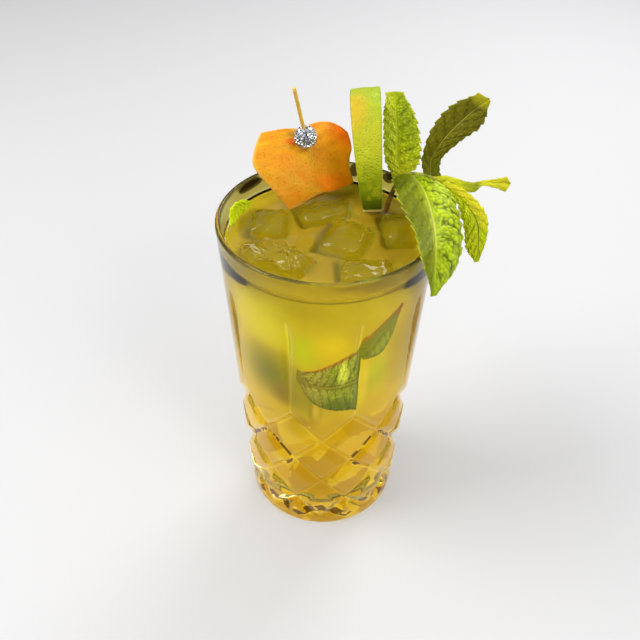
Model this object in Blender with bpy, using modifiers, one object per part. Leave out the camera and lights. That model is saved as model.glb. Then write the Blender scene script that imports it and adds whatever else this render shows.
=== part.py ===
"""Mojito cocktail in a cut highball glass, with ice, orange peel, lime wheel and a mint sprig.

Metres, +Z up. The origin is the centre of the glass's base, which stands on z = 0.
The front of the drink, with the lime wheel at the back, faces -Y.
"""
import math

import bmesh
import bpy
from mathutils import Matrix, Vector, noise

# Glass: a straight cone outside, thick base, cut with nine repeats of a diamond pattern
GLASS_HEIGHT = 0.150
RIM_RADIUS = 0.0425
OUTER_SLOPE = 0.0607
RIM_THICKNESS = 0.0023
FLOOR_HEIGHT = 0.013
HEEL_HEIGHT = 0.004
INNER_WALL = ((0.0275, 0.0148), (0.0297, 0.0195), (0.0309, 0.030), (0.0328, 0.060),
              (0.0376, 0.115), (0.0402, 0.1485))
INNER_FLOOR = ((0.0, FLOOR_HEIGHT), (0.0205, FLOOR_HEIGHT + 0.0001), (0.0252, FLOOR_HEIGHT + 0.0005))
HEEL = ((0.0334, 0.0019), (0.0327, 0.0006), (0.0316, 0.0), (0.0, 0.0))
RIM_STEPS = 4

# Cut pattern: two families of V grooves that cross, and a flute above each upper crossing
REPEATS = 9
COLUMNS = 72
CROSSING_AZIMUTH = math.radians(7.7)
TOP_CROSSING = 0.060
CROSSING_STEP = 0.028
GROOVE_RISE = 0.014
GROOVE_ROWS = 3
GROOVE_DEPTH = 0.0023
GROOVE_HALF_WIDTH = 0.0039
GROOVE_FADE = (0.006, 0.014)
ROW_STEP = 0.0035
UPPER_ROWS = (0.148, 0.138, 0.131, 0.128, 0.124, 0.120, 0.116, 0.109, 0.102, 0.095, 0.088, 0.081)
SHARP_FOLD = math.radians(25.0)
FLUTE_FOOT = 0.074
FLUTE_WIDEST = 0.116
FLUTE_TOP = 0.129
FLUTE_HALF_WIDTH = 0.0027
FLUTE_SLOPE = math.tan(math.radians(30.0))

# Drink, the gap that neighbours keep, and the wider one round the pick and the stem
DRINK_LEVEL = 0.141
GAP = 0.0003
ROD_GAP = 0.0004
DRINK_COLUMNS = 36
DRINK_ROWS = (DRINK_LEVEL, 0.125, 0.110, 0.090, 0.070, 0.050, 0.030, 0.0195)
DRINK_FOOT = FLOOR_HEIGHT + 0.0006 + GAP
DRINK_HEEL = ((0.0268, 0.0160), (0.0240, DRINK_FOOT), (0.0, DRINK_FOOT))

# Ice: name, centre, size, turn, unevenness
ICE = (
    ("ice_left_back", (-0.0238, 0.0052, 0.1335), (0.0150, 0.0175, 0.019), 5.0, 0.0008),
    ("ice_front_left", (-0.0165, -0.0170, 0.1340), (0.0250, 0.0160, 0.019), -25.0, 0.0022),
    ("ice_centre", (0.0076, 0.0, 0.1330), (0.0175, 0.0210, 0.021), -12.0, 0.0008),
    ("ice_front_right", (0.0180, -0.0205, 0.1335), (0.0200, 0.0140, 0.019), 10.0, 0.0009),
    ("ice_right_back", (0.0272, 0.0090, 0.1340), (0.0130, 0.0195, 0.019), 15.0, 0.0008),
    ("ice_back_centre", (-0.0035, 0.0165, 0.1335), (0.0210, 0.0125, 0.019), 30.0, 0.0009),
)
ICE_CUTS = 3
ICE_ROUNDING = 7.0
ICE_NOISE_SCALE = 1.7
ICE_NOISE_STEP = Vector((7.3, 0.0, 0.0))
ICE_NOISE_START = Vector((0.0, 2.1, 0.4))
ICE_NOISE_SHIFTS = (Vector((0.0, 0.0, 0.0)), Vector((9.3, -1.5, -7.9)), Vector((-5.1, 6.8, 3.4)))

# Orange peel: a curved slab that leans back, outlined by width across and length up its curve
PEEL_FOOT = Vector((-0.0182, 0.0177, 0.1405))
PEEL_ACROSS = Vector((0.8056, 0.5925, 0.0))
PEEL_LEAN_LOW = math.radians(8.0)
PEEL_CURL = math.radians(52.0) / 0.030
PEEL_THICKNESS = 0.0026
PEEL_BULGE = 0.0025
PEEL_MIDDLE = 0.012
PEEL_HALF_WIDTH = 0.020
PEEL_DENT = (0.0107, 0.0233)
PEEL_DENT_DEPTH = 0.0008
PEEL_DENT_WIDTH = 0.005
PEEL_LEFT = ((-0.0007, -0.0005), (-0.0105, 0.0175), (-0.0088, 0.0255), (-0.0038, 0.0315))
PEEL_TOP = ((-0.0038, 0.0315), (0.0040, 0.0304), (0.0123, 0.0291), (0.0209, 0.0299),
            (0.0273, 0.0283), (0.0322, 0.0234))
PEEL_RIGHT = ((0.0298, 0.0035), (0.0286, 0.0105), (0.0319, 0.0176), (0.0322, 0.0234))
PEEL_COLUMNS = 11
PEEL_ROWS = 8
PEEL_BOTTOM = ((-0.0007, -0.0005), (0.0119, 0.0031), (0.0202, 0.0026), (0.0298, 0.0035))

# Pick of bamboo with a faceted bead
PICK_TOP = Vector((-0.0163, 0.0218, 0.1901))
BEAD_CENTRE = Vector((-0.0130, 0.0278, 0.1671))
PICK_REACH = 2.35
PICK_FOOT = PICK_TOP + (BEAD_CENTRE - PICK_TOP) * PICK_REACH
PICK_RADIUS = 0.00075
BEAD_RADIUS = 0.0048

# Lime wheel, slit and set on the back of the rim
LIME_CENTRE = Vector((0.01145, 0.03975, 0.1560))
LIME_RADIUS = 0.0260
LIME_NORMAL = Vector((0.9887, 0.1262, 0.1150))
LIME_THICKNESS = 0.0092
LIME_TAPER = 0.12
LIME_SIDES = 40
RIND_ROUNDING = 0.0009
SLIT_GAP = 0.0006
SLIT_OUTSIDE = (0.1506, 0.1380, 0.1240)
SLIT_INSIDE = (0.1240, 0.1380, 0.1480, 0.1506)

# Mint: every leaf is three rails from its foot to its tip, left edge, midrib and right edge
LEAF_THICKNESS = 0.0010
LEAF_ROWS = 10
LEAF_COLUMNS = 4
LEAF_WAVE = 0.0005
LEAF_WAVES = 4.5
LEAF_END = 0.10
LEAF_LEAST_WIDTH = 0.06
STEM_RADIUS = 0.0011
STEM_STEPS = 18
STEM_SUNK_STEPS = 9
STEM = ((0.0210, 0.0212, 0.1320), (0.0211, 0.0228, 0.1405), (0.0234, 0.0280, 0.1478),
        (0.0268, 0.0308, 0.1522), (0.0330, 0.0306, 0.1534), (0.0380, 0.0295, 0.1530),
        (0.0415, 0.0275, 0.1512))
SPRIG_LEAVES = {
    "upright": (
        ((0.0223, 0.0310, 0.1508), (0.0182, 0.0330, 0.1571), (0.0168, 0.0350, 0.1670),
         (0.0161, 0.0375, 0.1755), (0.0170, 0.0385, 0.1831)),
        ((0.0262, 0.0306, 0.1518), (0.0233, 0.0320, 0.1581), (0.0224, 0.0340, 0.1680),
         (0.0210, 0.0360, 0.1767), (0.0199, 0.0385, 0.1841)),
        ((0.0267, 0.0310, 0.1520), (0.0325, 0.0330, 0.1562), (0.0324, 0.0350, 0.1650),
         (0.0289, 0.0375, 0.1758), (0.0227, 0.0385, 0.1842))),
    "upper_right": (
        ((0.0346, 0.0300, 0.1532), (0.0328, 0.0335, 0.1592), (0.0353, 0.0340, 0.1723),
         (0.0417, 0.0330, 0.1833), (0.0517, 0.0300, 0.1900)),
        ((0.0374, 0.0298, 0.1530), (0.0370, 0.0320, 0.1604), (0.0414, 0.0315, 0.1703),
         (0.0476, 0.0310, 0.1791), (0.0552, 0.0300, 0.1883)),
        ((0.0409, 0.0300, 0.1543), (0.0412, 0.0305, 0.1617), (0.0476, 0.0295, 0.1702),
         (0.0548, 0.0290, 0.1779), (0.0555, 0.0300, 0.1872))),
    "far_right": (
        ((0.0382, 0.0292, 0.1536), (0.0432, 0.0300, 0.1545), (0.0529, 0.0290, 0.1530),
         (0.0581, 0.0280, 0.1548), (0.0664, 0.0260, 0.1586)),
        ((0.0388, 0.0292, 0.1523), (0.0460, 0.0280, 0.1519), (0.0539, 0.0275, 0.1517),
         (0.0586, 0.0270, 0.1543), (0.0684, 0.0260, 0.1559)),
        ((0.0401, 0.0292, 0.1510), (0.0486, 0.0270, 0.1500), (0.0549, 0.0265, 0.1499),
         (0.0583, 0.0260, 0.1535), (0.0667, 0.0260, 0.1519))),
    "over_rim": (
        ((0.0227, 0.0243, 0.1535), (0.0255, 0.0101, 0.1530), (0.0326, -0.0090, 0.1535),
         (0.0370, -0.0259, 0.1525), (0.0427, -0.0241, 0.1360)),
        ((0.0300, 0.0305, 0.1532), (0.0363, 0.0124, 0.1550), (0.0405, -0.0069, 0.1535),
         (0.0418, -0.0200, 0.1500), (0.0429, -0.0241, 0.1360)),
        ((0.0332, 0.0300, 0.1535), (0.0454, 0.0217, 0.1525), (0.0512, 0.0107, 0.1455),
         (0.0513, -0.0052, 0.1385), (0.0431, -0.0240, 0.1360))),
    "lower_right": (
        ((0.0405, 0.0278, 0.1515), (0.0479, 0.0250, 0.1465), (0.0525, 0.0225, 0.1353),
         (0.0544, 0.0200, 0.1274), (0.0592, 0.0190, 0.1219)),
        ((0.0415, 0.0276, 0.1514), (0.0506, 0.0250, 0.1468), (0.0572, 0.0225, 0.1393),
         (0.0591, 0.0200, 0.1310), (0.0597, 0.0190, 0.1217)),
        ((0.0435, 0.0278, 0.1531), (0.0533, 0.0255, 0.1501), (0.0611, 0.0235, 0.1424),
         (0.0626, 0.0210, 0.1327), (0.0604, 0.0190, 0.1220))),
}
WALL_LEAF = (
    ((-0.0325, 0.0138, 0.1440), (-0.0345, 0.0122, 0.1405), (-0.0362, 0.0080, 0.1405),
     (-0.0368, 0.0028, 0.1405), (-0.0368, -0.0045, 0.1440)),
    ((-0.0325, 0.0138, 0.1440), (-0.0348, 0.0102, 0.1445), (-0.0367, 0.0060, 0.1450),
     (-0.0374, 0.0010, 0.1450), (-0.0368, -0.0045, 0.1440)),
    ((-0.0325, 0.0138, 0.1440), (-0.0355, 0.0082, 0.1482), (-0.0375, 0.0040, 0.1485),
     (-0.0380, -0.0015, 0.1482), (-0.0368, -0.0045, 0.1440)))


def clear_scene():
    for thing in list(bpy.data.objects):
        bpy.data.objects.remove(thing, do_unlink=True)


def new_collection(name):
    collection = bpy.data.collections.new(name)
    bpy.context.scene.collection.children.link(collection)
    return collection


def material(name, colour, roughness, transmission=0.0, metallic=0.0):
    finish = bpy.data.materials.new(name)
    finish.use_nodes = True
    shader = finish.node_tree.nodes["Principled BSDF"]
    shader.inputs["Base Color"].default_value = (*colour, 1.0)
    shader.inputs["Roughness"].default_value = roughness
    shader.inputs["Metallic"].default_value = metallic
    shader.inputs["Transmission Weight"].default_value = transmission
    finish.diffuse_color = (*colour, 1.0)
    return finish


def new_object(name, mesh, collection, finish=None):
    thing = bpy.data.objects.new(name, mesh)
    collection.objects.link(thing)
    if finish is not None:
        mesh.materials.append(finish)
    return thing


def bmesh_object(name, shape, collection, finish=None):
    mesh = bpy.data.meshes.new(name)
    bmesh.ops.recalc_face_normals(shape, faces=shape.faces)
    shape.to_mesh(mesh)
    shape.free()
    return new_object(name, mesh, collection, finish)


def evaluated_mesh(thing):
    bpy.context.view_layer.update()
    graph = bpy.context.evaluated_depsgraph_get()
    return bpy.data.meshes.new_from_object(thing.evaluated_get(graph))


def bake_modifiers(thing):
    """Gives the object the mesh that its modifiers make, and drops them."""
    mesh = evaluated_mesh(thing)
    thing.modifiers.clear()
    thing.data = mesh


def along(points, place):
    """Point at place 0..1 on the smooth curve through evenly spaced points."""
    vectors = [Vector(point) for point in points]
    last = len(vectors) - 1
    scaled = min(max(place, 0.0), 1.0) * last
    start = min(int(scaled), last - 1)
    rest = scaled - start
    before = vectors[max(start - 1, 0)]
    here = vectors[start]
    after = vectors[start + 1]
    beyond = vectors[min(start + 2, last)]
    return 0.5 * (2.0 * here + (after - before) * rest
                  + (2.0 * before - 5.0 * here + 4.0 * after - beyond) * rest ** 2
                  + (3.0 * here - before - 3.0 * after + beyond) * rest ** 3)


def outer_radius(height):
    return RIM_RADIUS - OUTER_SLOPE * (GLASS_HEIGHT - height)


def inner_radius(height):
    for (low_radius, low), (high_radius, high) in zip(INNER_WALL, INNER_WALL[1:]):
        if height <= high:
            share = (height - low) / (high - low)
            return low_radius + share * (high_radius - low_radius)
    return INNER_WALL[-1][0]


def flute_half_width(height):
    if not FLUTE_FOOT < height < FLUTE_TOP:
        return 0.0
    if height <= FLUTE_WIDEST:
        return FLUTE_HALF_WIDTH * (height - FLUTE_FOOT) / (FLUTE_WIDEST - FLUTE_FOOT)
    share = (height - FLUTE_WIDEST) / (FLUTE_TOP - FLUTE_WIDEST)
    return FLUTE_HALF_WIDTH * math.sqrt(1.0 - share ** 2)


def cut_depth(turn, height):
    """Depth of the cut pattern at an angle from a lower crossing and a height."""
    pitch = 2.0 * math.pi / REPEATS
    fold = abs((turn + pitch / 2.0) % pitch - pitch / 2.0)
    radius = outer_radius(height)
    tilt = math.atan2(GROOVE_RISE, radius * pitch / 2.0)
    depth = 0.0
    for row in range(GROOVE_ROWS):
        crossing = TOP_CROSSING - row * CROSSING_STEP
        for side in (1.0, -1.0):
            line = crossing + side * GROOVE_RISE * fold / (pitch / 2.0)
            away = abs(height - line) * math.cos(tilt)
            depth = max(depth, GROOVE_DEPTH * (1.0 - away / GROOVE_HALF_WIDTH))
    low, high = GROOVE_FADE
    depth *= min(max((height - low) / (high - low), 0.0), 1.0)
    from_flute = (pitch / 2.0 - fold) * radius
    return max(depth, (flute_half_width(height) - from_flute) * FLUTE_SLOPE)


def turned(name, profile, steps, collection, finish=None):
    """Solid of revolution about Z from (radius, height) pairs, down its outer side."""
    mesh = bpy.data.meshes.new(name)
    shape = bmesh.new()
    points = [shape.verts.new((radius, 0.0, height)) for radius, height in profile]
    for first, second in zip(points, points[1:]):
        shape.edges.new((first, second))
    shape.to_mesh(mesh)
    shape.free()
    thing = new_object(name, mesh, collection, finish)
    screw = thing.modifiers.new("Turn", "SCREW")
    screw.axis = "Z"
    screw.steps = steps
    screw.render_steps = steps
    screw.use_merge_vertices = True
    screw.merge_threshold = 0.00001
    return thing


def glass_profile():
    """From the floor's centre up the inside, over the rim and down the outside."""
    rim_arc = []
    half = RIM_THICKNESS / 2.0
    middle = RIM_RADIUS - half
    shoulder = INNER_WALL[-1][1]
    for step in range(1, RIM_STEPS):
        angle = math.pi * (1.0 - step / RIM_STEPS)
        lift = (GLASS_HEIGHT - shoulder) * math.sin(angle)
        rim_arc.append((middle + half * math.cos(angle), shoulder + lift))
    rows = list(UPPER_ROWS)
    count = round((FLUTE_FOOT - HEEL_HEIGHT) / ROW_STEP)
    rows += [FLUTE_FOOT - ROW_STEP * step for step in range(count + 1)]
    wall = [(outer_radius(height), height) for height in rows]
    return list(INNER_FLOOR + INNER_WALL) + rim_arc + wall + list(HEEL)


def cut_glass(glass):
    """Moves the outer wall in by the pattern's depth and folds its faces along the grooves."""
    shape = bmesh.new()
    shape.from_mesh(glass.data)
    depths = {}
    for vert in shape.verts:
        radius = math.hypot(vert.co.x, vert.co.y)
        if not HEEL_HEIGHT - GAP < vert.co.z < UPPER_ROWS[0]:
            continue
        if radius < outer_radius(vert.co.z) - GAP:
            continue
        depth = cut_depth(math.atan2(vert.co.y, vert.co.x), vert.co.z)
        depths[vert] = depth
        shrink = (radius - depth) / radius
        vert.co.x *= shrink
        vert.co.y *= shrink
    for face in list(shape.faces):
        corners = list(face.verts)
        if len(corners) != 4 or not all(vert in depths for vert in corners):
            continue
        first = depths[corners[0]] + depths[corners[2]]
        second = depths[corners[1]] + depths[corners[3]]
        pair = (corners[0], corners[2]) if first >= second else (corners[1], corners[3])
        bmesh.utils.face_split(face, *pair)
    shape.to_mesh(glass.data)
    shape.free()


def build_glass(collection):
    finish = material("cut_glass", (0.95, 0.97, 0.95), 0.02, transmission=1.0)
    glass = turned("glass", glass_profile(), COLUMNS, collection, finish)
    bake_modifiers(glass)
    cut_glass(glass)
    turn = CROSSING_AZIMUTH - math.pi / 2.0
    glass.data.transform(Matrix.Rotation(turn, 4, "Z"))
    glass.data.shade_smooth()
    glass.data.set_sharp_from_angle(angle=SHARP_FOLD)
    return glass


def grown(thing, amount, collection):
    """Cutter of the same shape, larger by an amount all round."""
    cutter = new_object(thing.name + "_cutter", evaluated_mesh(thing), collection)
    cutter.matrix_world = thing.matrix_world
    swell = cutter.modifiers.new("Grow", "DISPLACE")
    swell.mid_level = 0.0
    swell.strength = amount
    bake_modifiers(cutter)
    hide(cutter)
    return cutter


def hide(thing):
    thing.hide_render = True
    thing.display_type = "WIRE"


def build_ice(collection, finish):
    """Rounded, uneven blocks that just break the surface of the drink."""
    blocks = []
    for seed, (name, centre, size, turn, rough) in enumerate(ICE):
        shape = bmesh.new()
        bmesh.ops.create_cube(shape, size=2.0)
        bmesh.ops.subdivide_edges(shape, edges=shape.edges, cuts=ICE_CUTS, use_grid_fill=True)
        for vert in shape.verts:
            reach = sum(abs(part) ** ICE_ROUNDING for part in vert.co) ** (1.0 / ICE_ROUNDING)
            spot = vert.co / reach
            place = spot * ICE_NOISE_SCALE + ICE_NOISE_STEP * seed + ICE_NOISE_START
            bump = Vector([noise.noise(place + shift) for shift in ICE_NOISE_SHIFTS])
            half = Vector(size) / 2.0
            vert.co = Vector([spot[axis] * half[axis] for axis in range(3)]) + bump * rough
        bmesh.ops.triangulate(shape, faces=shape.faces)
        block = bmesh_object(name, shape, collection, finish)
        block.location = centre
        block.rotation_euler = (0.0, 0.0, math.radians(turn))
        blocks.append(block)
    return blocks


def peel_point(place, height):
    """Point of the peel's middle surface, blended between its four curved edges."""
    left = along([(*pair, 0.0) for pair in PEEL_LEFT], height)
    right = along([(*pair, 0.0) for pair in PEEL_RIGHT], height)
    bottom = along([(*pair, 0.0) for pair in PEEL_BOTTOM], place)
    top = along([(*pair, 0.0) for pair in PEEL_TOP], place)
    corners = [Vector((*pair, 0.0)) for pair in
               (PEEL_BOTTOM[0], PEEL_BOTTOM[-1], PEEL_TOP[0], PEEL_TOP[-1])]
    low = corners[0].lerp(corners[1], place)
    high = corners[2].lerp(corners[3], place)
    flat = left.lerp(right, place) + bottom.lerp(top, height) - low.lerp(high, height)
    bulge = PEEL_BULGE * (1.0 - ((flat.x - PEEL_MIDDLE) / PEEL_HALF_WIDTH) ** 2)
    from_dent = math.hypot(flat.x - PEEL_DENT[0], flat.y - PEEL_DENT[1])
    bulge -= PEEL_DENT_DEPTH * math.exp(-(from_dent / PEEL_DENT_WIDTH) ** 2)
    facing = Vector((PEEL_ACROSS.y, -PEEL_ACROSS.x, 0.0))
    lean = PEEL_LEAN_LOW + PEEL_CURL * flat.y
    back = (math.cos(PEEL_LEAN_LOW) - math.cos(lean)) / PEEL_CURL
    rise = (math.sin(lean) - math.sin(PEEL_LEAN_LOW)) / PEEL_CURL
    front = facing * math.cos(lean) + Vector((0.0, 0.0, math.sin(lean)))
    middle = PEEL_FOOT + PEEL_ACROSS * flat.x - facing * back + Vector((0.0, 0.0, rise))
    return middle + front * bulge


def sheet(name, columns, rows, place, thickness, collection, finish=None):
    """Closed thin solid over a grid whose points come from place(u, v)."""
    shape = bmesh.new()
    bmesh.ops.create_grid(shape, x_segments=columns, y_segments=rows, size=0.5)
    for vert in shape.verts:
        vert.co = place(vert.co.x + 0.5, vert.co.y + 0.5)
    bmesh.ops.triangulate(shape, faces=shape.faces)
    thing = bmesh_object(name, shape, collection, finish)
    skin = thing.modifiers.new("Thickness", "SOLIDIFY")
    skin.thickness = thickness
    skin.offset = 0.0
    skin.use_even_offset = False
    return thing


def rod(name, points, radius, collection, finish=None, sides=8):
    """Closed tube with flat ends along points."""
    curve = bpy.data.curves.new(name, "CURVE")
    curve.dimensions = "3D"
    curve.bevel_depth = radius
    curve.bevel_resolution = sides // 4
    curve.use_fill_caps = True
    line = curve.splines.new("POLY")
    line.points.add(len(points) - 1)
    for point, place in zip(line.points, points):
        point.co = (*place, 1.0)
    path = bpy.data.objects.new(name, curve)
    collection.objects.link(path)
    mesh = evaluated_mesh(path)
    bpy.data.objects.remove(path, do_unlink=True)
    shape = bmesh.new()
    shape.from_mesh(mesh)
    bmesh.ops.remove_doubles(shape, verts=shape.verts, dist=0.00001)
    thing = bmesh_object(name, shape, collection, finish)
    thing.name = name
    return thing


def subtract(thing, cutter):
    cut = thing.modifiers.new("Cut", "BOOLEAN")
    cut.operation = "DIFFERENCE"
    cut.object = cutter
    return cut


def build_peel(collection, cutters, pick_hole):
    finish = material("orange_peel", (0.90, 0.45, 0.05), 0.45)
    peel = sheet("orange_peel", PEEL_COLUMNS, PEEL_ROWS, peel_point, PEEL_THICKNESS,
                 collection, finish)
    bake_modifiers(peel)
    foot = grown(peel, GAP, cutters)
    subtract(peel, pick_hole)
    return peel, foot


def build_pick(collection, cutters):
    """Bamboo pick, its clearance for the pieces that it runs through, and its bead."""
    wood = material("bamboo", (0.78, 0.62, 0.36), 0.6)
    crystal = material("bead", (0.80, 0.80, 0.82), 0.15, metallic=0.6)
    pick = rod("pick", (PICK_TOP, PICK_FOOT), PICK_RADIUS, collection, wood)
    run = (PICK_FOOT - PICK_TOP).normalized()
    ends = (PICK_TOP - run * BEAD_RADIUS, PICK_FOOT + run * 2.0 * GAP)
    hole = rod("pick_hole", ends, PICK_RADIUS + ROD_GAP, cutters)
    hide(hole)
    shape = bmesh.new()
    bmesh.ops.create_uvsphere(shape, u_segments=14, v_segments=8, radius=BEAD_RADIUS)
    bead = bmesh_object("bead", shape, collection, crystal)
    bead.location = BEAD_CENTRE
    bead.rotation_euler = run.to_track_quat("Z", "Y").to_euler()
    subtract(bead, hole)
    return pick, hole


def build_lime(collection, cutters):
    """Wheel of lime, thicker at its top, with a slit that takes the rim."""
    finish = material("lime", (0.45, 0.62, 0.08), 0.4)
    shape = bmesh.new()
    bmesh.ops.create_cone(shape, cap_ends=True, segments=LIME_SIDES, radius1=LIME_RADIUS,
                          radius2=LIME_RADIUS, depth=LIME_THICKNESS)
    lime = bmesh_object("lime_wheel", shape, collection, finish)
    turn = LIME_NORMAL.normalized().to_track_quat("Z", "Y").to_matrix().to_4x4()
    lime.data.transform(Matrix.Translation(LIME_CENTRE) @ turn)
    for vert in lime.data.vertices:
        above = vert.co.z - LIME_CENTRE.z
        side = (vert.co - LIME_CENTRE).dot(LIME_NORMAL)
        stretch = LIME_TAPER * above / LIME_THICKNESS
        vert.co += LIME_NORMAL * side * stretch
    edge = lime.modifiers.new("Rounded rind", "BEVEL")
    edge.width = RIND_ROUNDING
    edge.segments = 2
    edge.limit_method = "ANGLE"
    bake_modifiers(lime)
    pocket = grown(lime, GAP, cutters)
    ring = [(outer_radius(height) + SLIT_GAP, height) for height in SLIT_OUTSIDE]
    ring += [(inner_radius(height) - SLIT_GAP, height) for height in SLIT_INSIDE]
    slit = turned("rim_slit", ring + ring[:1], COLUMNS, cutters)
    hide(slit)
    bake_modifiers(slit)
    subtract(lime, slit)
    return lime, pocket


def leaf(name, rails, collection, finish=None):
    left, middle, right = rails

    def place(across, up):
        low = along(left, up)
        rib = along(middle, up)
        high = along(right, up)
        inward = min(up / LEAF_END, (1.0 - up) / LEAF_END, 1.0)
        if inward < 1.0:
            wide = 0.25 if up < 0.5 else 0.75
            spread = along(right, wide) - along(left, wide)
            least = spread * LEAF_LEAST_WIDTH * (1.0 - inward)
            low -= least
            high += least
        if across < 0.5:
            share = across * 2.0
            point = low.lerp(rib, share)
        else:
            share = 2.0 - across * 2.0
            point = high.lerp(rib, share)
        facing = (high - low).cross(along(middle, up + 0.02) - along(middle, up - 0.02))
        if facing.length > 0.0:
            wave = math.sin(up * LEAF_WAVES * math.tau) * (1.0 - share) * LEAF_WAVE * inward
            point = point + facing.normalized() * wave
        return point

    return sheet(name, LEAF_COLUMNS, LEAF_ROWS, place, LEAF_THICKNESS, collection, finish)


def build_sprig(collection, cutters):
    """Five leaves and their stem, joined into one piece that lies over the rim."""
    finish = material("mint", (0.30, 0.50, 0.05), 0.5)
    loose = new_collection("sprig_parts")
    for name, rails in SPRIG_LEAVES.items():
        bake_modifiers(leaf(name, rails, loose))
    stem_points = [along(STEM, step / STEM_STEPS) for step in range(STEM_STEPS + 1)]
    sprig = rod("mint_sprig", stem_points, STEM_RADIUS, collection, finish, sides=8)
    join = sprig.modifiers.new("Join", "BOOLEAN")
    join.operation = "UNION"
    join.operand_type = "COLLECTION"
    join.collection = loose
    bake_modifiers(sprig)
    for thing in list(loose.objects):
        bpy.data.objects.remove(thing, do_unlink=True)
    bpy.data.collections.remove(loose)
    sprig.data.materials.clear()
    sprig.data.materials.append(finish)
    start = Vector(STEM[0]) - Vector((0.0, 0.0, 2.0 * GAP))
    channel = rod("stem_hole", [start] + stem_points[:STEM_SUNK_STEPS], STEM_RADIUS + ROD_GAP,
                  cutters)
    hide(channel)
    small = leaf("mint_leaf_small", WALL_LEAF, collection, finish)
    bake_modifiers(small)
    foot = grown(small, GAP, cutters)
    return sprig, channel, foot


def build_drink(collection, cutters, pieces):
    """Drink up to its level, cut round everything that dips into it."""
    finish = material("mojito", (0.62, 0.50, 0.08), 0.1, transmission=0.6)
    wall = [(inner_radius(height) - GAP, height) for height in DRINK_ROWS]
    profile = [(0.0, DRINK_LEVEL)] + wall + list(DRINK_HEEL)
    drink = turned("drink", profile, DRINK_COLUMNS, collection, finish)
    bake_modifiers(drink)
    holes = new_collection("drink_holes")
    for piece in pieces:
        holes.objects.link(piece)
        cutters.objects.unlink(piece)
    cut = drink.modifiers.new("Cut", "BOOLEAN")
    cut.operation = "DIFFERENCE"
    cut.operand_type = "COLLECTION"
    cut.collection = holes
    return drink


def main():
    clear_scene()
    parts = new_collection("mojito_cocktail")
    cutters = new_collection("cutters")
    build_glass(parts)
    ice_finish = material("ice", (0.85, 0.88, 0.80), 0.05, transmission=1.0)
    blocks = build_ice(parts, ice_finish)
    pockets = [grown(block, GAP, cutters) for block in blocks]
    pick, pick_hole = build_pick(parts, cutters)
    peel, peel_foot = build_peel(parts, cutters, pick_hole)
    lime, lime_pocket = build_lime(parts, cutters)
    sprig, channel, leaf_foot = build_sprig(parts, cutters)
    dips = pockets + [peel_foot, lime_pocket, channel, leaf_foot]
    run = (PICK_FOOT - PICK_TOP).normalized()
    dips.append(rod("pick_channel", (BEAD_CENTRE, PICK_FOOT + run * 2.0 * GAP),
                    PICK_RADIUS + ROD_GAP, cutters))
    hide(dips[-1])
    build_drink(parts, cutters, dips)


main()
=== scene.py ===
"""Mojito cocktail in a cut highball glass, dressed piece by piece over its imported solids.

Metres, +Z up. The glass stands on z = 0 at the origin, and its front faces -Y.
"""
import math

import bmesh
import bpy
from mathutils import Matrix, Vector, noise


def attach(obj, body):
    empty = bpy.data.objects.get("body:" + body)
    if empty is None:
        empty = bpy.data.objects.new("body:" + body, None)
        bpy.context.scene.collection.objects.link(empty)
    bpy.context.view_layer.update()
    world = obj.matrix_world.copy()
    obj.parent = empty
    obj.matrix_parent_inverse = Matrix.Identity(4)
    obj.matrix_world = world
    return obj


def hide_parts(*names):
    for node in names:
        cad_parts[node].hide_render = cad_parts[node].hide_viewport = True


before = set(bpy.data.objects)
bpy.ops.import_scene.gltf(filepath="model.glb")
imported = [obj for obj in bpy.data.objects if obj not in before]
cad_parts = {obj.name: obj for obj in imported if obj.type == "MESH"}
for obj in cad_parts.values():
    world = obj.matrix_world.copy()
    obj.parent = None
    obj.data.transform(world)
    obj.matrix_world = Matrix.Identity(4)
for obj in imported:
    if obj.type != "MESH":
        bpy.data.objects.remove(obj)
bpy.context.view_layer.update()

# The glass is pressed from clear soda glass. Two families of V grooves cross in nine repeats
# round its lower half, and a slim flute stands over each peak of the top row. The inside is
# plain, and the thick base is hollowed a little underneath.
MM_IN_METRE = 1000.0
GLASS_HEIGHT = 0.150
RIM_RADIUS = 0.0425
OUTER_SLOPE = 0.0607
RIM_THICKNESS = 0.0023
RIM_STEPS = 10
INNER_WALL = ((0.0252, 0.0135), (0.0275, 0.0148), (0.0297, 0.0195), (0.0309, 0.030),
              (0.0328, 0.060), (0.0376, 0.115), (0.0393, 0.1370), (0.04005, 0.1466),
              (0.04014, 0.1478), (0.0402, 0.1485))
INNER_FLOOR = ((0.0, 0.0130), (0.0120, 0.0130), (0.0205, 0.0131))
HEEL = ((0.03362, 0.0033), (0.03345, 0.0022), (0.0330, 0.0011), (0.0323, 0.0004),
        (0.0314, 0.0001), (0.0300, 0.0001), (0.0285, 0.0004), (0.0265, 0.0009),
        (0.0200, 0.0013), (0.0, 0.0015))
COLUMNS_IN_HALF_REPEAT = 24
CUT_FOOT_STEPS = 96
CUT_HEAD_STEPS = 35
PLAIN_ROWS = (0.148, 0.146, 0.141, 0.136, 0.132)
FLUTE_ROWS_HEAD = 0.1300
FLUTE_ROWS_FOOT = 0.0812
FINE_ROWS_FOOT = 0.1225
FINE_ROW = 0.0006
COARSE_ROW = 0.0013
GROOVE_RISE = 0.014
CUT_SIZES = {
    "Repeats": 9,
    "First crossing": math.radians(7.7 - 90.0),
    "Top crossing": 0.060,
    "Groove rise": GROOVE_RISE,
    "Groove depth": 0.0023,
    "Groove half height": GROOVE_RISE * 10.0 / 24.0,
    "Groove rounding": 0.045,
    "Fade foot": 0.006,
    "Fade head": 0.014,
    "Flute foot": 0.074,
    "Flute widest": 0.116,
    "Flute top": 0.129,
    "Flute half width": 0.0027,
    "Flute slope": math.tan(math.radians(30.0)),
    "Crease core": 0.0002,
    "Crease edge": 0.0008,
    "Glint half width": 0.0034,
    "Upper glint half width": 0.0021,
    "Glint foot": 0.0068,
    "Glint head": 0.0142,
    "Upper glint foot": 0.0395,
    "Upper glint head": 0.0575,
}
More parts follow.
